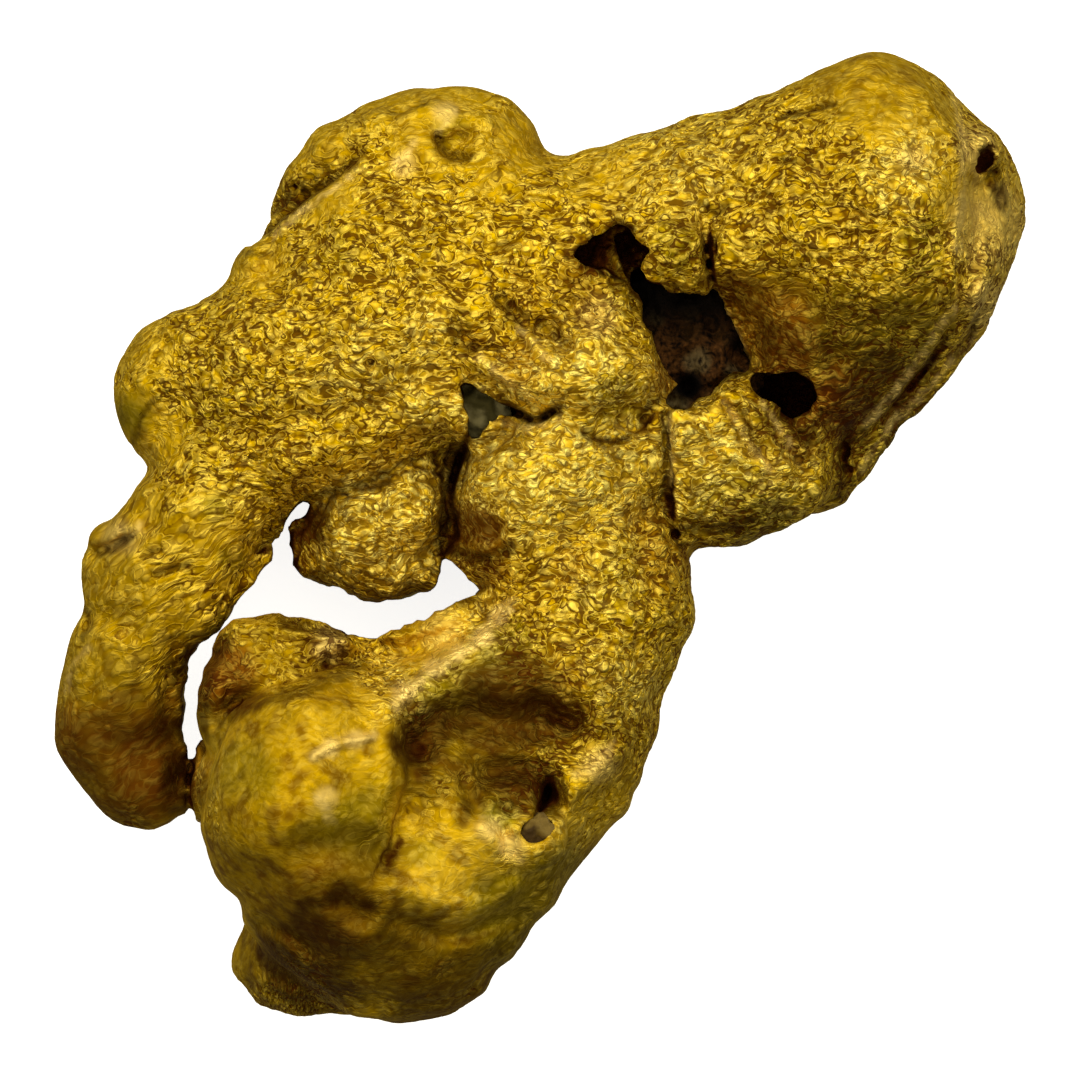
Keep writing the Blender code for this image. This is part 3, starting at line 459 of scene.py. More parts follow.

# Edges rubbed pale, and a painted highlight along them: half width in mm, share, path in mm.
WORN_EDGES_AND_HIGHLIGHTS = [
    (0.07, 0.8, [(-5.3, 6.08), (-4.95, 6.39), (-4.59, 6.68), (-4.19, 6.96), (-3.83, 7.24), (-3.55, 7.42)]),
    (0.08, 0.7, [(8.22, 4.61), (8.0, 4.29), (7.81, 3.98), (7.62, 3.68), (7.41, 3.39), (7.17, 3.07),
        (6.92, 2.76), (6.56, 2.32)]),
    (0.08, 0.6, [(8.72, 4.21), (8.55, 3.85), (8.22, 3.53), (7.92, 3.17), (7.52, 2.77), (7.12, 2.41),
        (6.82, 1.96), (6.46, 1.4)]),
    (0.13, 1.0, [(-0.56, -1.27), (-0.84, -1.51), (-1.15, -1.9), (-1.62, -2.26), (-2.06, -2.53),
        (-2.57, -2.93), (-2.8, -3.28)]),
    (0.11, 0.9, [(-4.44, -4.25), (-4.13, -4.07), (-3.74, -3.96), (-3.31, -3.88)]),
    (0.08, 0.6, [(-4.4, -5.07), (-4.24, -5.23), (-4.13, -5.5)]),
    (0.06, 0.6, [(-1.7, 8.55), (-1.88, 8.3), (-2.07, 8.13)]),
    (0.08, 0.7, [(-2.47, 7.97), (-2.63, 7.73), (-2.87, 7.53)]),
    (0.07, 0.6, [(-1.08, 2.43), (-0.8, 2.35), (-0.2, 2.22), (0.4, 2.38)]),
    (0.07, 0.5, [(2.58, 2.38), (2.64, 1.79), (2.61, 1.09)]),
    (0.08, 0.6, [(3.66, 2.74), (3.98, 2.29), (4.25, 1.79), (4.53, 1.43)]),
    (0.07, 0.5, [(4.42, 2.75), (4.74, 2.27), (4.97, 1.87)]),
    (0.07, 0.6, [(3.49, 4.92), (3.74, 4.41), (3.98, 3.94), (4.17, 3.57)]),
    (0.08, 0.6, [(-0.4, 4.21), (-0.12, 3.91), (0.16, 3.57)]),
    (0.08, 0.5, [(-1.19, 3.61), (-0.69, 3.18), (-0.2, 2.82)]),
    (0.1, 0.5, [(8.3, 9.0), (8.39, 7.95), (8.38, 6.95), (8.29, 5.75)]),
    (0.08, 0.5, [(0.69, -4.67), (1.03, -4.55), (1.31, -4.28), (1.43, -3.96)]),
    (0.1, 0.6, [(-1.1, -5.52), (-0.79, -5.84), (-0.69, -6.13), (-0.4, -6.3)]),
    (0.06, 0.5, [(-9.5, -3.01), (-9.42, -2.6), (-9.16, -2.3), (-8.99, -2.1)]),
    (0.07, 0.5, [(-8.38, 0.0), (-8.18, 0.16), (-7.98, 0.32)]),
]


# The rock in the cavity: its one dent (place, radius and depth in mm), and its patches as above: pale grit,
# and spots of painted shade in the dent and by the cavity's right wall.
ROCK_DENTS = [(2.96, 3.06, 0.22, 0.5)]
ROCK_PALE = [
    (3.17, 3.57, 0.26, 0.6), (2.72, 2.68, 0.26, 0.9), (2.30, 4.51, 0.22, 0.6), (2.96, 4.61, 0.2, 0.3),
    (3.84, 3.36, 0.2, 0.5),
]
ROCK_PAINTED_SHADE = [(2.96, 3.08, 0.30, 1.0), (3.97, 3.97, 0.3, 0.9)]


def srgb(code):
    """A hex colour as linear red, green, blue and full alpha."""
    parts = [int(code[i:i + 2], 16) / 255 for i in (1, 3, 5)]
    return tuple(c / 12.92 if c <= 0.04045 else ((c + 0.055) / 1.055) ** 2.4 for c in parts) + (1.0,)


def smoothstep(low, high, x):
    t = np.clip((x - low) / (high - low), 0, 1)
    return t * t * (3 - 2 * t)


# ---------------------------------------------------------------- mesh handling


def link(obj):
    bpy.context.scene.collection.objects.link(obj)
    return obj


def new_piece(name, form):
    mesh = bpy.data.meshes.new(name)
    form.to_mesh(mesh)
    form.free()
    return link(bpy.data.objects.new(name, mesh))


def working_copy(node, name):
    """A frame node as one joined mesh in millimetres. The node itself is left as it is."""
    form = bmesh.new()
    form.from_mesh(node.data)
    bmesh.ops.remove_doubles(form, verts=form.verts, dist=1e-7)
    bmesh.ops.scale(form, vec=(1 / MM,) * 3, verts=form.verts)
    return new_piece(name, form)


def settle(obj):
    """Applies the object's modifiers."""
    graph = bpy.context.evaluated_depsgraph_get()
    shaped = bpy.data.meshes.new_from_object(obj.evaluated_get(graph))
    obj.modifiers.clear()
    obj.data = shaped


def regrain(obj, grain, passes):
    """Rebuilds the mesh on an even grain and softens it."""
    voxels = obj.modifiers.new("grain", "REMESH")
    voxels.mode = "VOXEL"
    voxels.voxel_size = grain
    soft = obj.modifiers.new("soften", "SMOOTH")
    soft.factor = 0.5
    soft.iterations = passes
    settle(obj)


def read_skin(obj):
    """Every vertex's place and normal."""
    mesh = obj.data
    count = len(mesh.vertices)
    places = np.empty(count * 3, np.float32)
    normals = np.empty(count * 3, np.float32)
    mesh.vertices.foreach_get("co", places)
    mesh.vertex_normals.foreach_get("vector", normals)
    return places.reshape(-1, 3).astype(np.float64), normals.reshape(-1, 3).astype(np.float64)


def write_skin(obj, places):
    obj.data.vertices.foreach_set("co", places.astype(np.float32).ravel())
    obj.data.update()


def surface_of(obj):
    """A ray target of the piece as it is now."""
    form = bmesh.new()
    form.from_mesh(obj.data)
    tree = bvhtree.BVHTree.FromBMesh(form)
    form.free()
    return tree


def height_at(tree, x, y):
    hit = tree.ray_cast(Vector((x, y, ABOVE)), Vector((0, 0, -1)))[0]
    return hit.z if hit else MID_HEIGHT


# ---------------------------------------------------------------- cutters and lumps


def add_ball(form, centre, radii, turn=0.0, level=4):
    spin = Matrix.Rotation(math.radians(turn), 4, "Z")
    shape = Matrix.Translation(centre) @ spin @ Matrix.Diagonal((*radii, 1))
    bmesh.ops.create_icosphere(form, subdivisions=level, radius=1.0, matrix=shape)


def finish_cutter(name, form):
    bmesh.ops.triangulate(form, faces=form.faces)
    bmesh.ops.recalc_face_normals(form, faces=form.faces)
    return new_piece(name, form)


def well(name, floor, outline):
    """A hollow with ragged walls: its outline, drawn down to the floor and slightly in."""
    rng = np.random.default_rng(len(outline))
    edge = smooth_path(outline + outline[:1], WALL_STEP)[:-1]
    edge = [place + rng.uniform(-WALL_JITTER, WALL_JITTER, 2) for place in edge]
    form = bmesh.new()
    rim = form.faces.new([form.verts.new((*place, CUTTER_TOP)) for place in edge])
    drawn = bmesh.ops.extrude_face_region(form, geom=[rim])
    lower = [v for v in drawn["geom"] if isinstance(v, bmesh.types.BMVert)]
    bmesh.ops.translate(form, vec=(0, 0, floor - CUTTER_TOP), verts=lower)
    middle = sum((v.co for v in lower), Vector()) / len(lower)
    draft = 1.0 if floor < 0 else DRAFT
    bmesh.ops.scale(form, vec=(draft, draft, 1), verts=lower, space=Matrix.Translation(-middle))
    return finish_cutter(name, form)


def smooth_path(points, step):
    """Points every step along a smooth curve through the given ones."""
    points = [np.array(p, float) for p in points]
    points = [2 * points[0] - points[1]] + points + [2 * points[-1] - points[-2]]
    path = []
    for a, b, c, d in zip(points, points[1:], points[2:], points[3:]):
        count = max(2, int(np.linalg.norm(c - b) / step))
        for t in np.arange(count) / count:
            square = (2 * a - 5 * b + 4 * c - d) * t**2
            cube = (3 * b - a - 3 * c + d) * t**3
            path.append(0.5 * (2 * b + (c - a) * t + square + cube))
    return path + [points[-2]]


def crack_blade(name, tree, width, depth, points):
    """A crooked blade along the path, pinched at both ends, that follows the surface and thins downwards."""
    path = smooth_path(points, BLADE_STEP)
    rng = np.random.default_rng(len(points) * 1000 + int(abs(points[0][0]) * 100))
    last = len(path) - 1
    form = bmesh.new()
    bmesh.ops.create_grid(form, x_segments=last, y_segments=1, size=0.5)
    drawn = bmesh.ops.extrude_face_region(form, geom=form.faces[:])
    lower = {v for v in drawn["geom"] if isinstance(v, bmesh.types.BMVert)}
    rows = [[] for _ in path]
    for vert in form.verts:
        rows[round((vert.co.x + 0.5) * last)].append((vert, vert.co.y > 0, vert in lower))
    for number, (here, row) in enumerate(zip(path, rows)):
        ahead = path[min(number + 1, last)] - path[max(number - 1, 0)]
        across = np.array((-ahead[1], ahead[0])) / (np.linalg.norm(ahead) + 1e-9)
        along = number / last
        open_ = min(1.0, 0.15 + 5 * along, 0.15 + 5 * (1 - along)) * rng.uniform(0.85, 1.2)
        here = here + across * 0.05 * noise.noise((here[0] * 4, here[1] * 4, 0.5))
        banks = [height_at(tree, *(here + across * width * side)) for side in (-1.0, 0.0, 1.0)]
        bottom = min(banks) - depth * open_
        top = max(banks) + BLADE_ROOM
        flare = 0.2 + 0.8 * (top - bottom) / (min(banks) - bottom)
        for vert, is_left, is_lower in row:
            side = width * 0.55 * open_ * (1 if is_left else -1) * (0.2 if is_lower else flare)
            vert.co = (*(here + across * side), bottom if is_lower else top)
    return finish_cutter(name, form)


def hold_against(obj, other, operation):
    change = obj.modifiers.new(other.name, "BOOLEAN")
    change.operation = operation
    change.object = other
    change.solver = "MANIFOLD"


def combine(obj, others, operation):
    """Joins the others into one shape first, then takes it from the piece or adds it, in one step."""
    tool = others[0]
    for other in others[1:]:
        hold_against(tool, other, "UNION")
    settle(tool)
    hold_against(obj, tool, operation)
    settle(obj)
    for other in others:
        bpy.data.objects.remove(other)


def added_lumps():
    lumps = []
    for name, (centre, radii, turn) in ADDED_LUMPS.items():
        form = bmesh.new()
        add_ball(form, centre, radii, turn)
        lumps.append(new_piece(name, form))
    return lumps


def cavity_cutters(tree):
    cutters = [well(name, *hollow) for name, hollow in WELLS.items()]
    cutters += [crack_blade(name, tree, *crack) for name, crack in CRACKS.items()]
    for number, (x, y, half_x, half_y) in enumerate(PITS):
        form = bmesh.new()
        deep = 1.6 * min(half_x, half_y) + 0.05
        add_ball(form, (x, y, height_at(tree, x, y)), (half_x, half_y, deep), 20 * number, 2)
        for vert in form.verts:
            vert.co += 0.05 * noise.noise_vector(vert.co * 9.0)
        cutters.append(new_piece("pit_%d" % number, form))
    return cutters


# ---------------------------------------------------------------- sculpting in code


def swirl(places):
    """A smooth noise vector at every place."""
    return np.array([noise.noise_vector(p) for p in places.tolist()])


def ripple(places, size, seed=0.0):
    """Smooth noise of about that wavelength in mm, between -1 and 1."""
    scaled = places / size + np.array((seed, 1.7 * seed, -0.6 * seed))
    return np.fromiter((noise.noise(p) for p in scaled.tolist()), np.float64, len(places))


def strayed(places, reach, size, seed):
    """The places moved sideways a little, so that what is drawn from them has ragged sides."""
    aside = [reach * ripple(places, size, seed), reach * ripple(places, size, seed + 1), 0 * places[:, 0]]
    return places + np.stack(aside, 1)


def turned(places, degrees):
    """The places seen from a frame turned about Z."""
    c, s = math.cos(math.radians(degrees)), math.sin(math.radians(degrees))
    return places @ np.array(((c, -s, 0), (s, c, 0), (0, 0, 1)))


def off_run(away, run):
    """Distance in plan to a straight run from its start, and how far along it the nearest point is."""
    t = np.clip((away @ run) / (run @ run + 1e-12), 0, 1)
    return np.linalg.norm(away - t[:, None] * run, axis=1), t


def distance_to_path(places, points):
    """Distance in plan from every place to a path."""
    path = smooth_path(points, PATH_STEP)
    nearest = np.full(len(places), FAR)
    for a, b in zip(path, path[1:]):
        np.minimum(nearest, off_run(places[:, :2] - a, b - a)[0], out=nearest)
    return nearest


def drop_beside(places, points, reach):
    """How far each place on the left of a path is let down: 1 at the path, 0 at the reach and at its ends."""
    path = smooth_path(points, PATH_STEP)
    nearest = np.full(len(places), FAR)
    left = np.zeros(len(places))
    along = np.zeros(len(places))
    for number, (a, b) in enumerate(zip(path, path[1:])):
        run = b - a
        away = places[:, :2] - a
        gap, t = off_run(away, run)
        closer = gap < nearest
        nearest[closer] = gap[closer]
        left[closer] = (run[0] * away[:, 1] - run[1] * away[:, 0])[closer] > 0
        along[closer] = (number + t[closer]) / (len(path) - 1)
    ends = smoothstep(0.0, 0.12, along) * smoothstep(1.0, 0.88, along)
    return left * ends * np.clip(1 - nearest / reach, 0, 1) ** 1.3


def crease(places, normals):
    """Presses the creases, raises the ridges, lets down the steps and opens a valley along each crack."""
    upper = smoothstep(-0.05, 0.4, normals[:, 2]) * smoothstep(1.2, 2.0, places[:, 2])
    ragged = strayed(places, 0.07, 0.35, 5.0)
    sink = np.zeros(len(places))
    for depth, half_width, points in CREASES:
        sink += depth * smoothstep(1.0, 0.0, distance_to_path(places, points) / half_width)
    for width, depth, points in CRACKS.values():
        half_width = 0.05 + 0.9 * width
        sink += 0.25 * depth * np.clip(1 - distance_to_path(places, points) / half_width, 0, 1) ** 1.4
    for drop, reach, points in STEPS:
        sink += drop * drop_beside(ragged, points, reach)
    moved = places.copy()
    moved[:, 2] -= sink * upper
    return moved


def push(places):
    moved = places.copy()
    for x, y, radius, dx, dy, top in PUSHES:
        gap = np.hypot(places[:, 0] - x, places[:, 1] - y) / radius
        near = smoothstep(1.0, 0.0, gap) * (places[:, 2] > 0.0) * (places[:, 2] < top)
        moved[:, 0] += dx * near
        moved[:, 1] += dy * near
    return moved


def patches(places, spots, seed):
    """How much of each place lies in the soft round spots, with an uneven edge."""
    edge = 0.35
    wander = ripple(places, 0.9, seed) * edge + ripple(places, 0.3, seed + 9) * edge * 0.7
    cover = np.zeros(len(places))
    for x, y, radius, strength in spots:
        gap = np.hypot(places[:, 0] - x, places[:, 1] - y) / radius + wander
        cover = np.maximum(cover, strength * smoothstep(1.35, 0.45, gap))
    return cover


def strokes(places, lines, seed, gaps):
    """How much of each place the drawn lines cover, with ragged sides and some gaps."""
    ragged = strayed(places, 0.05, 0.25, seed)
    share = np.zeros(len(places))
    for half_width, strength, points in lines:
        near = smoothstep(1.5, 0.4, distance_to_path(ragged, points) / half_width)
        share = np.maximum(share, strength * near)
    broken = smoothstep(-0.35, 0.30, ripple(places, 0.16, seed + 2))
    return share * (1 - gaps + gaps * broken)


def nodules(places, size, seed):
    """Packed grains of about that size in mm: 1 on a rounded top, 0 in the groove between two of them.

    They are drawn out level on most of the gold, and along a line rising to the right on the arm.
    """
    arm = smoothstep(-4.6, -5.6, places[:, 0]) * smoothstep(1.6, 0.6, places[:, 1])
    spun = turned(places, 28) * (0.6, 1.25, 1.0)
    level = places * (0.85, 1.1, 1.0)
    drawn = (level * (1 - arm[:, None]) + spun * arm[:, None]) / size + seed
    bend = swirl(drawn * 0.55 + 31.0)
    reach = np.array([noise.voronoi(p)[0][:2] for p in (drawn + 0.75 * bend).tolist()])
    edge = smoothstep(0.0, 0.30, reach[:, 1] - reach[:, 0])
    return edge * (1 - 0.45 * smoothstep(0.1, 0.9, reach[:, 0]))


def crinkle(places, normals):
    """The skin of native gold: the moved places, how deep each lies in a groove, and how burnished it is."""
    burnished = patches(places, BURNISHED, 3.0)
    rough = 1 - 0.93 * burnished
    side = smoothstep(0.5, 0.0, normals[:, 2])
    broad = 0.10 * ripple(places, 1.5, 11.0) + 0.08 * ripple(places, 0.75, 12.0) * (1 - 0.4 * burnished)
    broad *= 1 - 0.4 * side
    coarse = nodules(places, 0.46, 20.0)
    fine = nodules(places, 0.24, 40.0)
    lift = broad + rough * (0.060 * (coarse - 0.6) + 0.045 * (fine - 0.6)) * (1 - 0.75 * side)
    foot = smoothstep(1.0, 0.0, np.abs(places[:, 2]) / 0.05) * (normals[:, 2] < -0.8)
    lift *= 1 - foot
    in_crack = np.zeros(len(places))
    for width, _, points in CRACKS.values():
        near = smoothstep(width + 0.08, width * 0.5, distance_to_path(places, points))
        in_crack = np.maximum(in_crack, near)
    lift -= in_crack * (lift + 0.01)
    groove = (1 - coarse) * 0.5 + (1 - fine) * 0.5
    return places + normals * lift[:, None], groove * rough, burnished


def grain_places(obj, places):
    """Stores where the fine grains are read: places in mm, bent and drawn out the way the gold was worked."""
    bent = places + 0.20 * swirl(places * 1.5 + 5.0) + 0.05 * swirl(places * 4.0 + 9.0)
    root = np.array((-6.6, 1.0, 3.0))
    arm = smoothstep(-4.0, -5.8, places[:, 0]) * smoothstep(2.4, -0.4, places[:, 1]) * (places[:, 2] < 5.0)
    streaked = turned(bent - root, 30) * (0.42, 1.05, 0.9)
    drawn = (bent - root) * (0.72, 1.12, 1.0) * (1 - arm[:, None]) + streaked * arm[:, None]
    layer = obj.data.attributes.new("grain_place", "FLOAT_VECTOR", "POINT")
    layer.data.foreach_set("vector", drawn.astype(np.float32).ravel())


def shelter(obj, reach=1.6, rays=20):
    """Share of nearby sky that each vertex doesn't see: high in hollows and cracks. The reach is in mm."""
    tree = surface_of(obj)
    rng = np.random.default_rng(7)
    spread = rng.normal(size=(rays, 3))
    spread /= np.linalg.norm(spread, axis=1)[:, None]
    spread = [Vector(v) for v in spread]
    places, normals = read_skin(obj)
    blocked = np.zeros(len(places))
    for number, (place, normal) in enumerate(zip(places.tolist(), normals.tolist())):
        normal = Vector(normal)
        start = Vector(place) + normal * 0.02
        aims = ((ray + normal * 1.05).normalized() for ray in spread)
        blocked[number] = sum(tree.ray_cast(start, aim, reach)[0] is not None for aim in aims) / rays
    return blocked


def store(obj, name, values):
    layer = obj.data.attributes.new(name, "FLOAT", "POINT")
    layer.data.foreach_set("value", np.asarray(values, np.float32))


def thin_to(obj, triangles):
    """Thins the mesh, the hidden underside more than the upper side."""
    places, normals = read_skin(obj)
    under = smoothstep(0.15, -0.75, normals[:, 2]) * 0.6 + smoothstep(2.0, 0.3, places[:, 2]) * 0.4
    group = obj.vertex_groups.new(name="underside")
    steps = np.round((0.25 + 0.75 * np.clip(under, 0, 1)) * 8) / 8
    for weight in np.unique(steps):
        group.add(np.nonzero(steps == weight)[0].tolist(), float(weight), "REPLACE")
    thin = obj.modifiers.new("thin", "DECIMATE")
    thin.ratio = triangles / (2 * len(obj.data.polygons))
    thin.vertex_group = group.name
    thin.vertex_group_factor = 1.0
    settle(obj)
    obj.vertex_groups.clear()


def shape_gold(node):
    gold = working_copy(node, "gold_nugget")
    regrain(gold, FORM_GRAIN, 12)
    write_skin(gold, push(read_skin(gold)[0]))
    combine(gold, added_lumps(), "UNION")
    regrain(gold, LUMP_GRAIN, 4)
    write_skin(gold, crease(*read_skin(gold)))
    combine(gold, cavity_cutters(surface_of(gold)), "DIFFERENCE")
    regrain(gold, SKIN_GRAIN, 1)
    fine_places, groove, burnished = crinkle(*read_skin(gold))
    write_skin(gold, fine_places)
    thin_to(gold, SKIN_TRIANGLES)
    finds = kdtree.KDTree(len(fine_places))
    for number, place in enumerate(fine_places.tolist()):
        finds.insert(place, number)
    finds.balance()
    places, normals = read_skin(gold)
    nearest = np.fromiter((finds.find(place)[1] for place in places.tolist()), np.int64, len(places))
    store(gold, "groove", groove[nearest])
    store(gold, "burnish", burnished[nearest])
    grain_places(gold, places)
    store(gold, "mottle", ripple(places, 0.42, 90.0) + 0.6 * ripple(places, 0.21, 91.0))
    store(gold, "cloud", ripple(places, 1.9, 92.0) + 0.6 * ripple(places, 0.9, 93.0))
    # the gold's colour turns this into brown stain and painted shade in the hollows
    store(gold, "shelter", shelter(gold))
    upper = smoothstep(-0.3, 0.2, normals[:, 2])
    # painted shade: faces that turn down are darkened along with the dark brown film
    underside = 0.55 * smoothstep(0.25, -0.5, normals[:, 2])
    store(gold, "olive", patches(places, OLIVE, 50.0) * upper)
    store(gold, "rust", patches(places, RUST, 60.0) * upper)
    # dark brown film, with painted shade on the foot, the arm's tip, the dome's lower right slope and the
    # faces that turn down
    store(gold, "umber", np.maximum(patches(places, UMBER_AND_SHADE, 70.0) * upper, underside))
    # painted highlights on edges and spots that catch the light
    store(gold, "pale", patches(places, PAINTED_HIGHLIGHTS, 80.0) * upper)
    # worn edges, with a painted highlight along them
    store(gold, "edge", strokes(places, WORN_EDGES_AND_HIGHLIGHTS, 81.0, 0.8) * upper * 0.85)
    # grime in cracks, and painted shade under edges and at the foot of steps
    store(gold, "dirt", strokes(places, DIRT_AND_SHADE_LINES, 83.0, 0.35) * upper)
    # rubbed clean, and painted light where the gold lies in shade
    store(gold, "clean", patches(places, CLEAN_AND_PAINTED_LIGHT, 85.0) * upper)
    return gold


def rough_stone(name, centre, radii, turn, facet, relief, dents=()):
    """A broken lump of rock: a ball pressed out of round, with facets of that size and relief in mm."""
    form = bmesh.new()
    add_ball(form, (0, 0, 0), radii, 0, 6)
    stone = new_piece(name, form)
    places, normals = read_skin(stone)
    chips = np.array([noise.voronoi(p)[0][0] for p in (places / facet + 3.3).tolist()])
    lift = relief * (chips - 0.5) + 0.35 * relief * ripple(places, facet * 0.4, 4.0)
    places = places + normals * lift[:, None]
    places = places @ np.array(Matrix.Rotation(math.radians(turn), 3, "Z")).T + np.array(centre)
    for x, y, radius, depth in dents:
        gap = np.hypot(places[:, 0] - x, places[:, 1] - y) / radius
        places[:, 2] -= depth * smoothstep(1.0, 0.55, gap) * (normals[:, 2] > 0)
    write_skin(stone, places)
    return stone


def cavity_rock():
    rock = rough_stone("cavity_rock", (2.95, 3.95, 2.35), (1.45, 1.85, 0.85), 15, 0.6, 0.62, ROCK_DENTS)
    places = read_skin(rock)[0]
    store(rock, "pale", patches(places, ROCK_PALE, 5.0))
    # painted shade: darker towards +Y, where the block overhangs the rock, and in the painted spots
    store(rock, "painted_shade", np.maximum(smoothstep(3.7, 4.7, places[:, 1]), patches(places, ROCK_PAINTED_SHADE, 6.0)))
    return rock


def finish_piece(piece, node, material):
    """Takes a shaped piece back to metres and puts it in its node's place."""
    piece.data.transform(Matrix.Scale(MM, 4))
    for face in piece.data.polygons:
        face.use_smooth = True
    piece.data.materials.clear()
    piece.data.materials.append(material)
    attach(piece, "root")
    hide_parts(node)
    print(piece.name, "triangles", sum(len(p.vertices) - 2 for p in piece.data.polygons))


# ---------------------------------------------------------------- finishes

SOFT = {"interpolation_type": "SMOOTHSTEP"}
TINT = {"data_type": "RGBA"}
TIMES = {"operation": "MULTIPLY"}
MORE = {"operation": "MAXIMUM"}
TIMES_PLUS = {"operation": "MULTIPLY_ADD"}


def add(tree, kind, settings=None, links=None):
    """Adds a node with its settings, and on each named input a value or another node's output.

    A node that is given where an output is wanted stands for its first live one.
    """
    made = tree.nodes.new("ShaderNode" + kind)
    for key, value in (settings or {}).items():
        setattr(made, key, value)
    for key, value in (links or {}).items():
        if isinstance(value, bpy.types.Node):
            value = next(socket for socket in value.outputs if socket.enabled)
        if isinstance(value, bpy.types.NodeSocket):
            tree.links.new(value, made.inputs[key])
        else:
            made.inputs[key].default_value = value
    return made


def span(low, high, start=0.0, end=1.0):
    """The inputs of a range: what it reads from and to, and what it gives there."""
    return {"From Min": low, "From Max": high, "To Min": start, "To Max": end}


def blank_material(name):
    material = bpy.data.materials.new(name)
    material.use_nodes = True
    material.node_tree.nodes.clear()
    return material, material.node_tree


def native_gold():
    """Native gold, cast by nature and tumbled in a stream: soft metal with a peened, crinkled skin.

    To the eye it is warm yellow metal broken into small pale flakes of 0.1 to 0.2 mm, drawn a little coarser
    than life so that they show, parted by brown, iron-stained grooves, with broader brown, olive and orange
    films where grime has stayed. Some of it is painted light: the flakes' pale tops are partly painted
    highlight, as are pale edges and spots; painted light brightens places that lie in shade; and painted
    shade darkens the deepest hollows, the faces that turn down, lines under edges and parts of the foot, the
    arm and the dome.
    """
    material, tree = blank_material("native_gold_tumbled")
    names = "groove burnish shelter olive rust umber pale mottle cloud dirt clean edge"
    groove, burnish, sheltered, olive, rust, umber, pale, mottle, cloud, dirt, clean, edge = [
        add(tree, "Attribute", {"attribute_name": name}).outputs["Fac"] for name in names.split()
    ]
    drawn = add(tree, "Attribute", {"attribute_name": "grain_place"}).outputs["Vector"]

    # grains 0.16 mm across, some high and some low
    grains = add(tree, "TexVoronoi", {"feature": "F1"}, {"Vector": drawn, "Scale": 6.4})
    luck = add(tree, "SeparateColor", {}, {0: grains.outputs["Color"]})
    domes = add(tree, "MapRange", SOFT, {"Value": grains, **span(0.72, 0.30)})
    chance = add(tree, "MapRange", SOFT, {"Value": luck, **span(0.15, 0.85, 0.30, 1.0)})
    high = add(tree, "Math", TIMES, {0: domes, 1: chance})
    # thin worm-like ridges that wander across them, and thin dark lines along one side of each: grime, and a
    # painted shadow of the ridge
    worms = add(tree, "TexNoise", {}, {"Vector": drawn, "Scale": 5.6, "Detail": 1.0, "Roughness": 0.5})
    worm, dirt_and_shadow_line = [
        add(tree, "MapRange", SOFT, {
            "Value": add(tree, "Math", {"operation": "ABSOLUTE"}, {
                0: add(tree, "Math", {"operation": "SUBTRACT"}, {0: worms, 1: middle}),
            }),
            **span(outer, inner),
        })
        for middle, outer, inner in ((0.52, 0.060, 0.015), (0.425, 0.062, 0.022))
    ]
    tops = add(tree, "Math", TIMES_PLUS, {0: worm, 1: 0.45, 2: high})

    # height of the fine skin, for the bump: almost none where it is burnished
    calm = add(tree, "MapRange", {}, {"Value": burnish, **span(0.0, 1.0, 1.0, 0.07)})
    bump = add(tree, "Bump", {}, {"Strength": calm, "Distance": 0.000048, "Height": tops})

    # how much brown lies here: thin lines, fine grooves, mesh grooves and sheltered hollows; in the hollows
    # it is iron stain and painted shade at once
    low = add(tree, "MapRange", SOFT, {"Value": tops, **span(0.30, 0.0, 0.0, 0.42)})
    fine_groove = add(tree, "Math", MORE, {0: dirt_and_shadow_line, 1: low})
    fine_share = add(tree, "Math", TIMES, {0: fine_groove, 1: calm})
    grooves = add(tree, "Math", TIMES_PLUS, {0: fine_share, 1: 0.77, 2: groove})
    film = add(tree, "MapRange", SOFT, {"Value": grooves, **span(0.45, 1.30, 0.0, 0.85)})
    hollow = add(tree, "MapRange", SOFT, {"Value": sheltered, **span(0.28, 0.85)})
    stain_and_shade = add(tree, "Math", MORE, {0: film, 1: hollow})
    # painted shade: the deepest hollows are coloured near black
    depth = add(tree, "MapRange", SOFT, {"Value": sheltered, **span(0.70, 1.0)})
    cleaned = add(tree, "MapRange", {}, {"Value": clean, **span(0.0, 1.0, 1.0, 0.76)})
    stain_and_shade_share = add(tree, "Math", TIMES, {0: stain_and_shade, 1: cleaned})

    # blotches and specks in the burnished metal
    cloudy = add(tree, "MapRange", {}, {"Value": cloud, **span(-0.2, 0.5, 0.0, 0.4)})
    blotch = add(tree, "MapRange", SOFT, {"Value": mottle, **span(0.15, -0.55)})
    blotches = add(tree, "Math", TIMES, {0: blotch, 1: burnish})
    speckle = add(tree, "TexNoise", {}, {"Vector": drawn, "Scale": 7.0, "Detail": 2.0, "Roughness": 0.6})
    specks = add(tree, "MapRange", {}, {"Value": speckle, **span(0.58, 0.36, 0.0, 0.42)})
    speck_share = add(tree, "Math", TIMES, {0: specks, 1: burnish})

    # the tops of the flakes are rubbed clean and painted pale as a highlight, less so under a film
    film_calm = add(tree, "MapRange", {}, {"Value": burnish, **span(0.0, 1.0, 1.0, 0.14)})
    flakes = add(tree, "Math", TIMES, {0: tops, 1: film_calm})
    filmed = add(tree, "Math", MORE, {0: umber, 1: add(tree, "Math", TIMES, {0: rust, 1: 0.8})})
    worn_share = add(tree, "MapRange", {}, {"Value": filmed, **span(0.0, 1.0, 0.90, 0.10)})
    flake_and_highlight_share = add(tree, "Math", TIMES, {0: flakes, 1: worn_share})
    flake_highlight_colour = add(tree, "Mix", TINT, {0: clean, 6: srgb("#F4D852"), 7: srgb("#FCEC7C")})

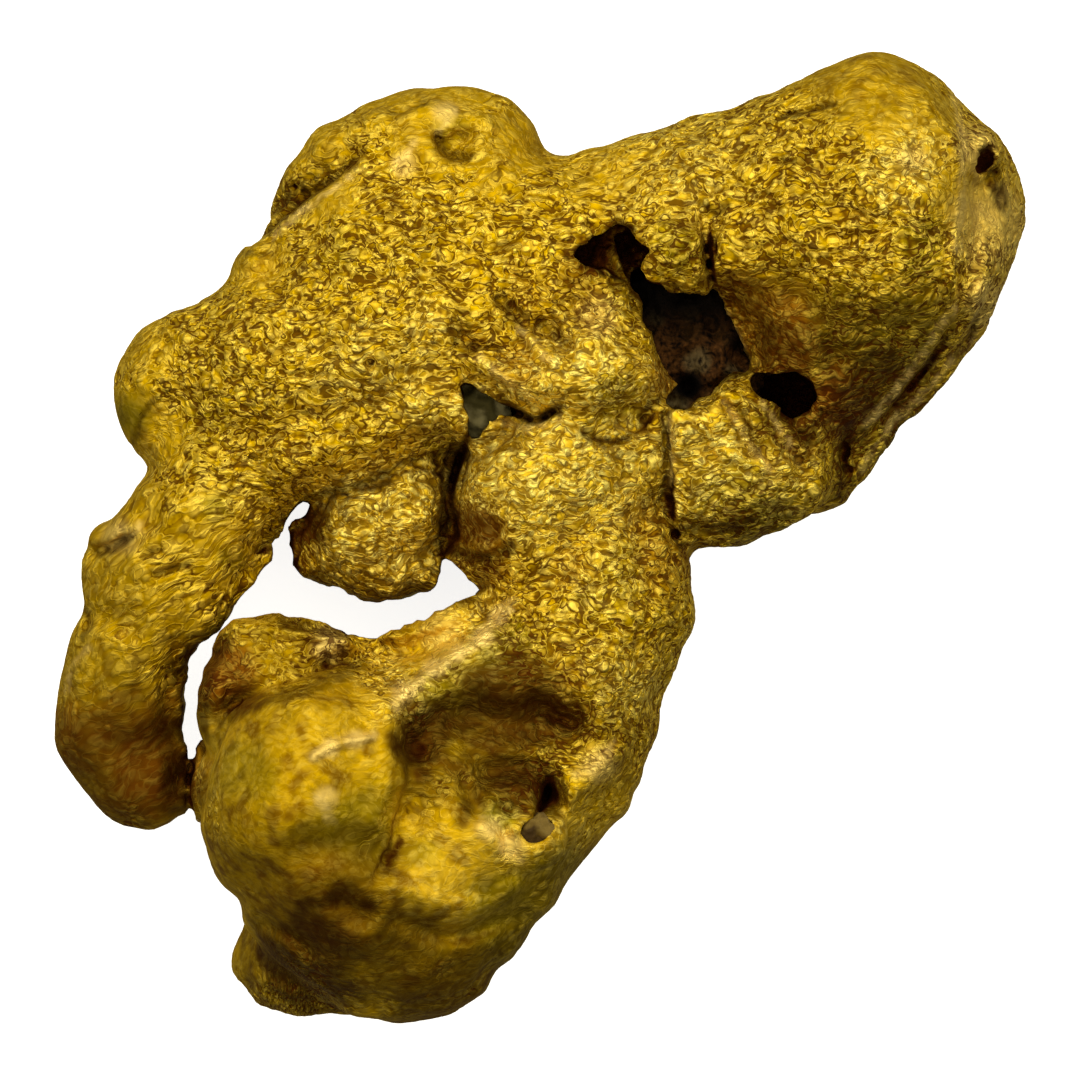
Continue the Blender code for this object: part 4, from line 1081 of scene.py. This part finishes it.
    # from the bare metal and its films (the dark brown one partly painted shade, the clean one partly painted
    # light), by the bright flakes (partly painted highlight), to what lies on top: painted highlights, stain
    # and painted shade in hollows, pale worn edges with a painted highlight, grime lines and painted shade,
    # and painted shade in the deepest hollows
    films = [(cloudy, "#B69200"), (clean, "#F0CA2A"), (blotches, "#8A6204"), (speck_share, "#7A5602"),
             (olive, "#7E7608"), (rust, "#94560A"), (umber, "#442206")]
    soil = [(pale, "#F6DC84"), (stain_and_shade_share, "#562806"), (edge, "#F6DC84"), (dirt, "#3C1A04"),
            (depth, "#2A1206")]
    colour = srgb("#D0AA02")
    for share, code in films:
        colour = add(tree, "Mix", TINT, {0: share, 6: colour, 7: srgb(code)})
    colour = add(tree, "Mix", TINT, {0: flake_and_highlight_share, 6: colour, 7: flake_highlight_colour})
    for share, code in soil:
        colour = add(tree, "Mix", TINT, {0: share, 6: colour, 7: srgb(code)})
    matt = add(tree, "MapRange", {}, {"Value": stain_and_shade, **span(0.0, 1.0, 0.56, 0.75)})
    worn = add(tree, "Math", TIMES_PLUS, {0: burnish, 1: 0.12, 2: matt})
    finish = {"Base Color": colour, "Metallic": 1.0, "Roughness": worn, "Normal": bump}
    add(tree, "OutputMaterial", {}, {"Surface": add(tree, "BsdfPrincipled", {}, finish)})
    return material


def ironstone_matrix():
    """Limonite-stained host rock left in the cavity: broken, dull and granular, dark brown with pale grit."""
    material, tree = blank_material("ironstone_matrix_broken")
    where = add(tree, "TexCoord").outputs["Object"]
    place = add(tree, "VectorMath", {"operation": "SCALE"}, {0: where, "Scale": 1 / MM})
    pale = add(tree, "Attribute", {"attribute_name": "pale"}).outputs["Fac"]
    painted_shade = add(tree, "Attribute", {"attribute_name": "painted_shade"}).outputs["Fac"]
    grains = add(tree, "TexVoronoi", {}, {"Vector": place, "Scale": 3.5})
    grime = add(tree, "TexNoise", {}, {"Vector": place, "Scale": 1.6, "Detail": 4.0})
    grit = add(tree, "TexNoise", {}, {"Vector": place, "Scale": 9.0, "Detail": 3.0})
    patch = add(tree, "MapRange", SOFT, {"Value": grime, **span(0.50, 0.70, 0.0, 0.5)})
    gritty = add(tree, "MapRange", {}, {"Value": grit, **span(0.35, 0.65)})
    pale_grains = add(tree, "MapRange", {}, {"Value": grit, **span(0.30, 0.55)})
    pale_share = add(tree, "Math", TIMES, {0: pale, 1: pale_grains})
    colour = srgb("#140903")
    # layers: grit, patches, pale grit, and last painted shade under the overhanging block and in the dent
    for share, code in ((gritty, "#5E3C1A"), (patch, "#5A3E18"), (pale_share, "#746A48"), (painted_shade, "#0C0602")):
        colour = add(tree, "Mix", TINT, {0: share, 6: colour, 7: srgb(code)})
    height = add(tree, "Math", TIMES_PLUS, {0: grit, 1: 0.6, 2: grains})
    bump = add(tree, "Bump", {}, {"Strength": 1.0, "Distance": 0.00012, "Height": height})
    finish = {"Base Color": colour, "Roughness": 0.9, "Specular IOR Level": 0.12, "Normal": bump}
    add(tree, "OutputMaterial", {}, {"Surface": add(tree, "BsdfPrincipled", {}, finish)})
    return material


def smoky_quartz(name, deep, veiled):
    """A broken grain of quartz pinched in the gold: dulled glassy faces, cloudy and stained inside."""
    material, tree = blank_material(name)
    where = add(tree, "TexCoord").outputs["Object"]
    place = add(tree, "VectorMath", {"operation": "SCALE"}, {0: where, "Scale": 1 / MM})
    cloud = add(tree, "TexNoise", {}, {"Vector": place, "Scale": 2.4, "Detail": 3.0})
    grit = add(tree, "TexNoise", {}, {"Vector": place, "Scale": 9.0, "Detail": 3.0})
    veil = add(tree, "MapRange", SOFT, {"Value": cloud, **span(0.4, 0.65)})
    colour = add(tree, "Mix", TINT, {0: veil, 6: srgb(deep), 7: srgb(veiled)})
    bump = add(tree, "Bump", {}, {"Strength": 0.8, "Distance": 0.00003, "Height": grit})
    finish = {"Base Color": colour, "Roughness": 0.8, "IOR": 1.54, "Specular IOR Level": 0.12, "Normal": bump}
    add(tree, "OutputMaterial", {}, {"Surface": add(tree, "BsdfPrincipled", {}, finish)})
    return material


# ---------------------------------------------------------------- studio


def pale_floor():
    form = bmesh.new()
    bmesh.ops.create_grid(form, x_segments=1, y_segments=1, size=0.6)
    floor = new_piece("studio_floor", form)
    floor.location.z = -0.00001
    material = bpy.data.materials.new("matt_white_card")
    material.use_nodes = True
    card = material.node_tree.nodes["Principled BSDF"].inputs
    card["Base Color"].default_value = srgb("#F7F7F5")
    card["Roughness"].default_value = 0.9
    card["Specular IOR Level"].default_value = 0.1
    card["Emission Color"].default_value = srgb("#FFFFFF")
    card["Emission Strength"].default_value = 0.85
    floor.data.materials.append(material)
    floor.visible_glossy = False  # the gold mirrors the room, not the card


def panel(name, place, size, radiance, tint):
    """A soft square light of that radiance, turned to the nugget."""
    light = bpy.data.lights.new(name, "AREA")
    light.shape = "SQUARE"
    light.size = size
    light.energy = radiance * math.pi * size * size
    light.color = srgb(tint)[:3]
    lamp = link(bpy.data.objects.new(name, light))
    lamp.location = place
    lamp.rotation_euler = (-Vector(place)).to_track_quat("-Z", "Y").to_euler()


def studio():
    world = bpy.data.worlds.new("studio_room")
    bpy.context.scene.world = world
    world.use_nodes = True
    tree = world.node_tree
    tree.nodes.clear()
    lean = Vector((-0.14, 0.46, 0.86)).normalized()
    where = add(tree, "TexCoord").outputs["Generated"]
    facing = add(tree, "VectorMath", {"operation": "DOT_PRODUCT"}, {0: where, 1: lean})
    rise = add(tree, "MapRange", SOFT, {"Value": facing, **span(-0.35, 1.0, 0.11, 1.26)})
    light = add(tree, "Background", {}, {"Color": srgb("#FFF6DE"), "Strength": rise})
    add(tree, "OutputWorld", {}, {"Surface": light})
    panel("key_panel", (-0.10, 0.36, 0.46), 0.42, 2.3, "#FFF8E6")
    panel("side_panel", (0.48, 0.12, 0.12), 0.26, 1.45, "#FFF8E8")


def camera():
    """Straight down from 280 mm, with the plane 3 mm above the floor 21.6 mm across the frame."""
    height, plane, across, sensor = 280, 3, 21.6, 36.0  # mm
    lens = bpy.data.cameras.new("macro_lens")
    lens.sensor_width = sensor
    lens.lens = sensor * (height - plane) / across
    lens.clip_start = 0.01
    view = link(bpy.data.objects.new("macro_camera", lens))
    view.location = (0, 0, height * MM)
    bpy.context.scene.camera = view
    bpy.context.scene.view_settings.view_transform = "Standard"
    bpy.context.scene.cycles.max_bounces = 5


def main():
    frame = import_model()
    nodes = frame["nodes"]
    camera()
    studio()
    pale_floor()
    finish_piece(shape_gold(nodes["gold_body"]), "gold_body", native_gold())
    finish_piece(cavity_rock(), "cavity_matrix", ironstone_matrix())
    seam = rough_stone("seam_quartz", (-1.16, 2.63, 4.10), (0.60, 0.70, 0.50), -20, 0.5, 0.22)
    finish_piece(seam, "seam_grain", smoky_quartz("smoky_quartz_broken", "#3E3818", "#78704A"))
    foot = rough_stone("foot_quartz", (-0.10, -5.77, 6.30), (0.42, 0.36, 0.36), 10, 0.35, 0.16)
    finish_piece(foot, "foot_grain", smoky_quartz("stained_quartz_broken", "#3A2A10", "#6E5A28"))


main()
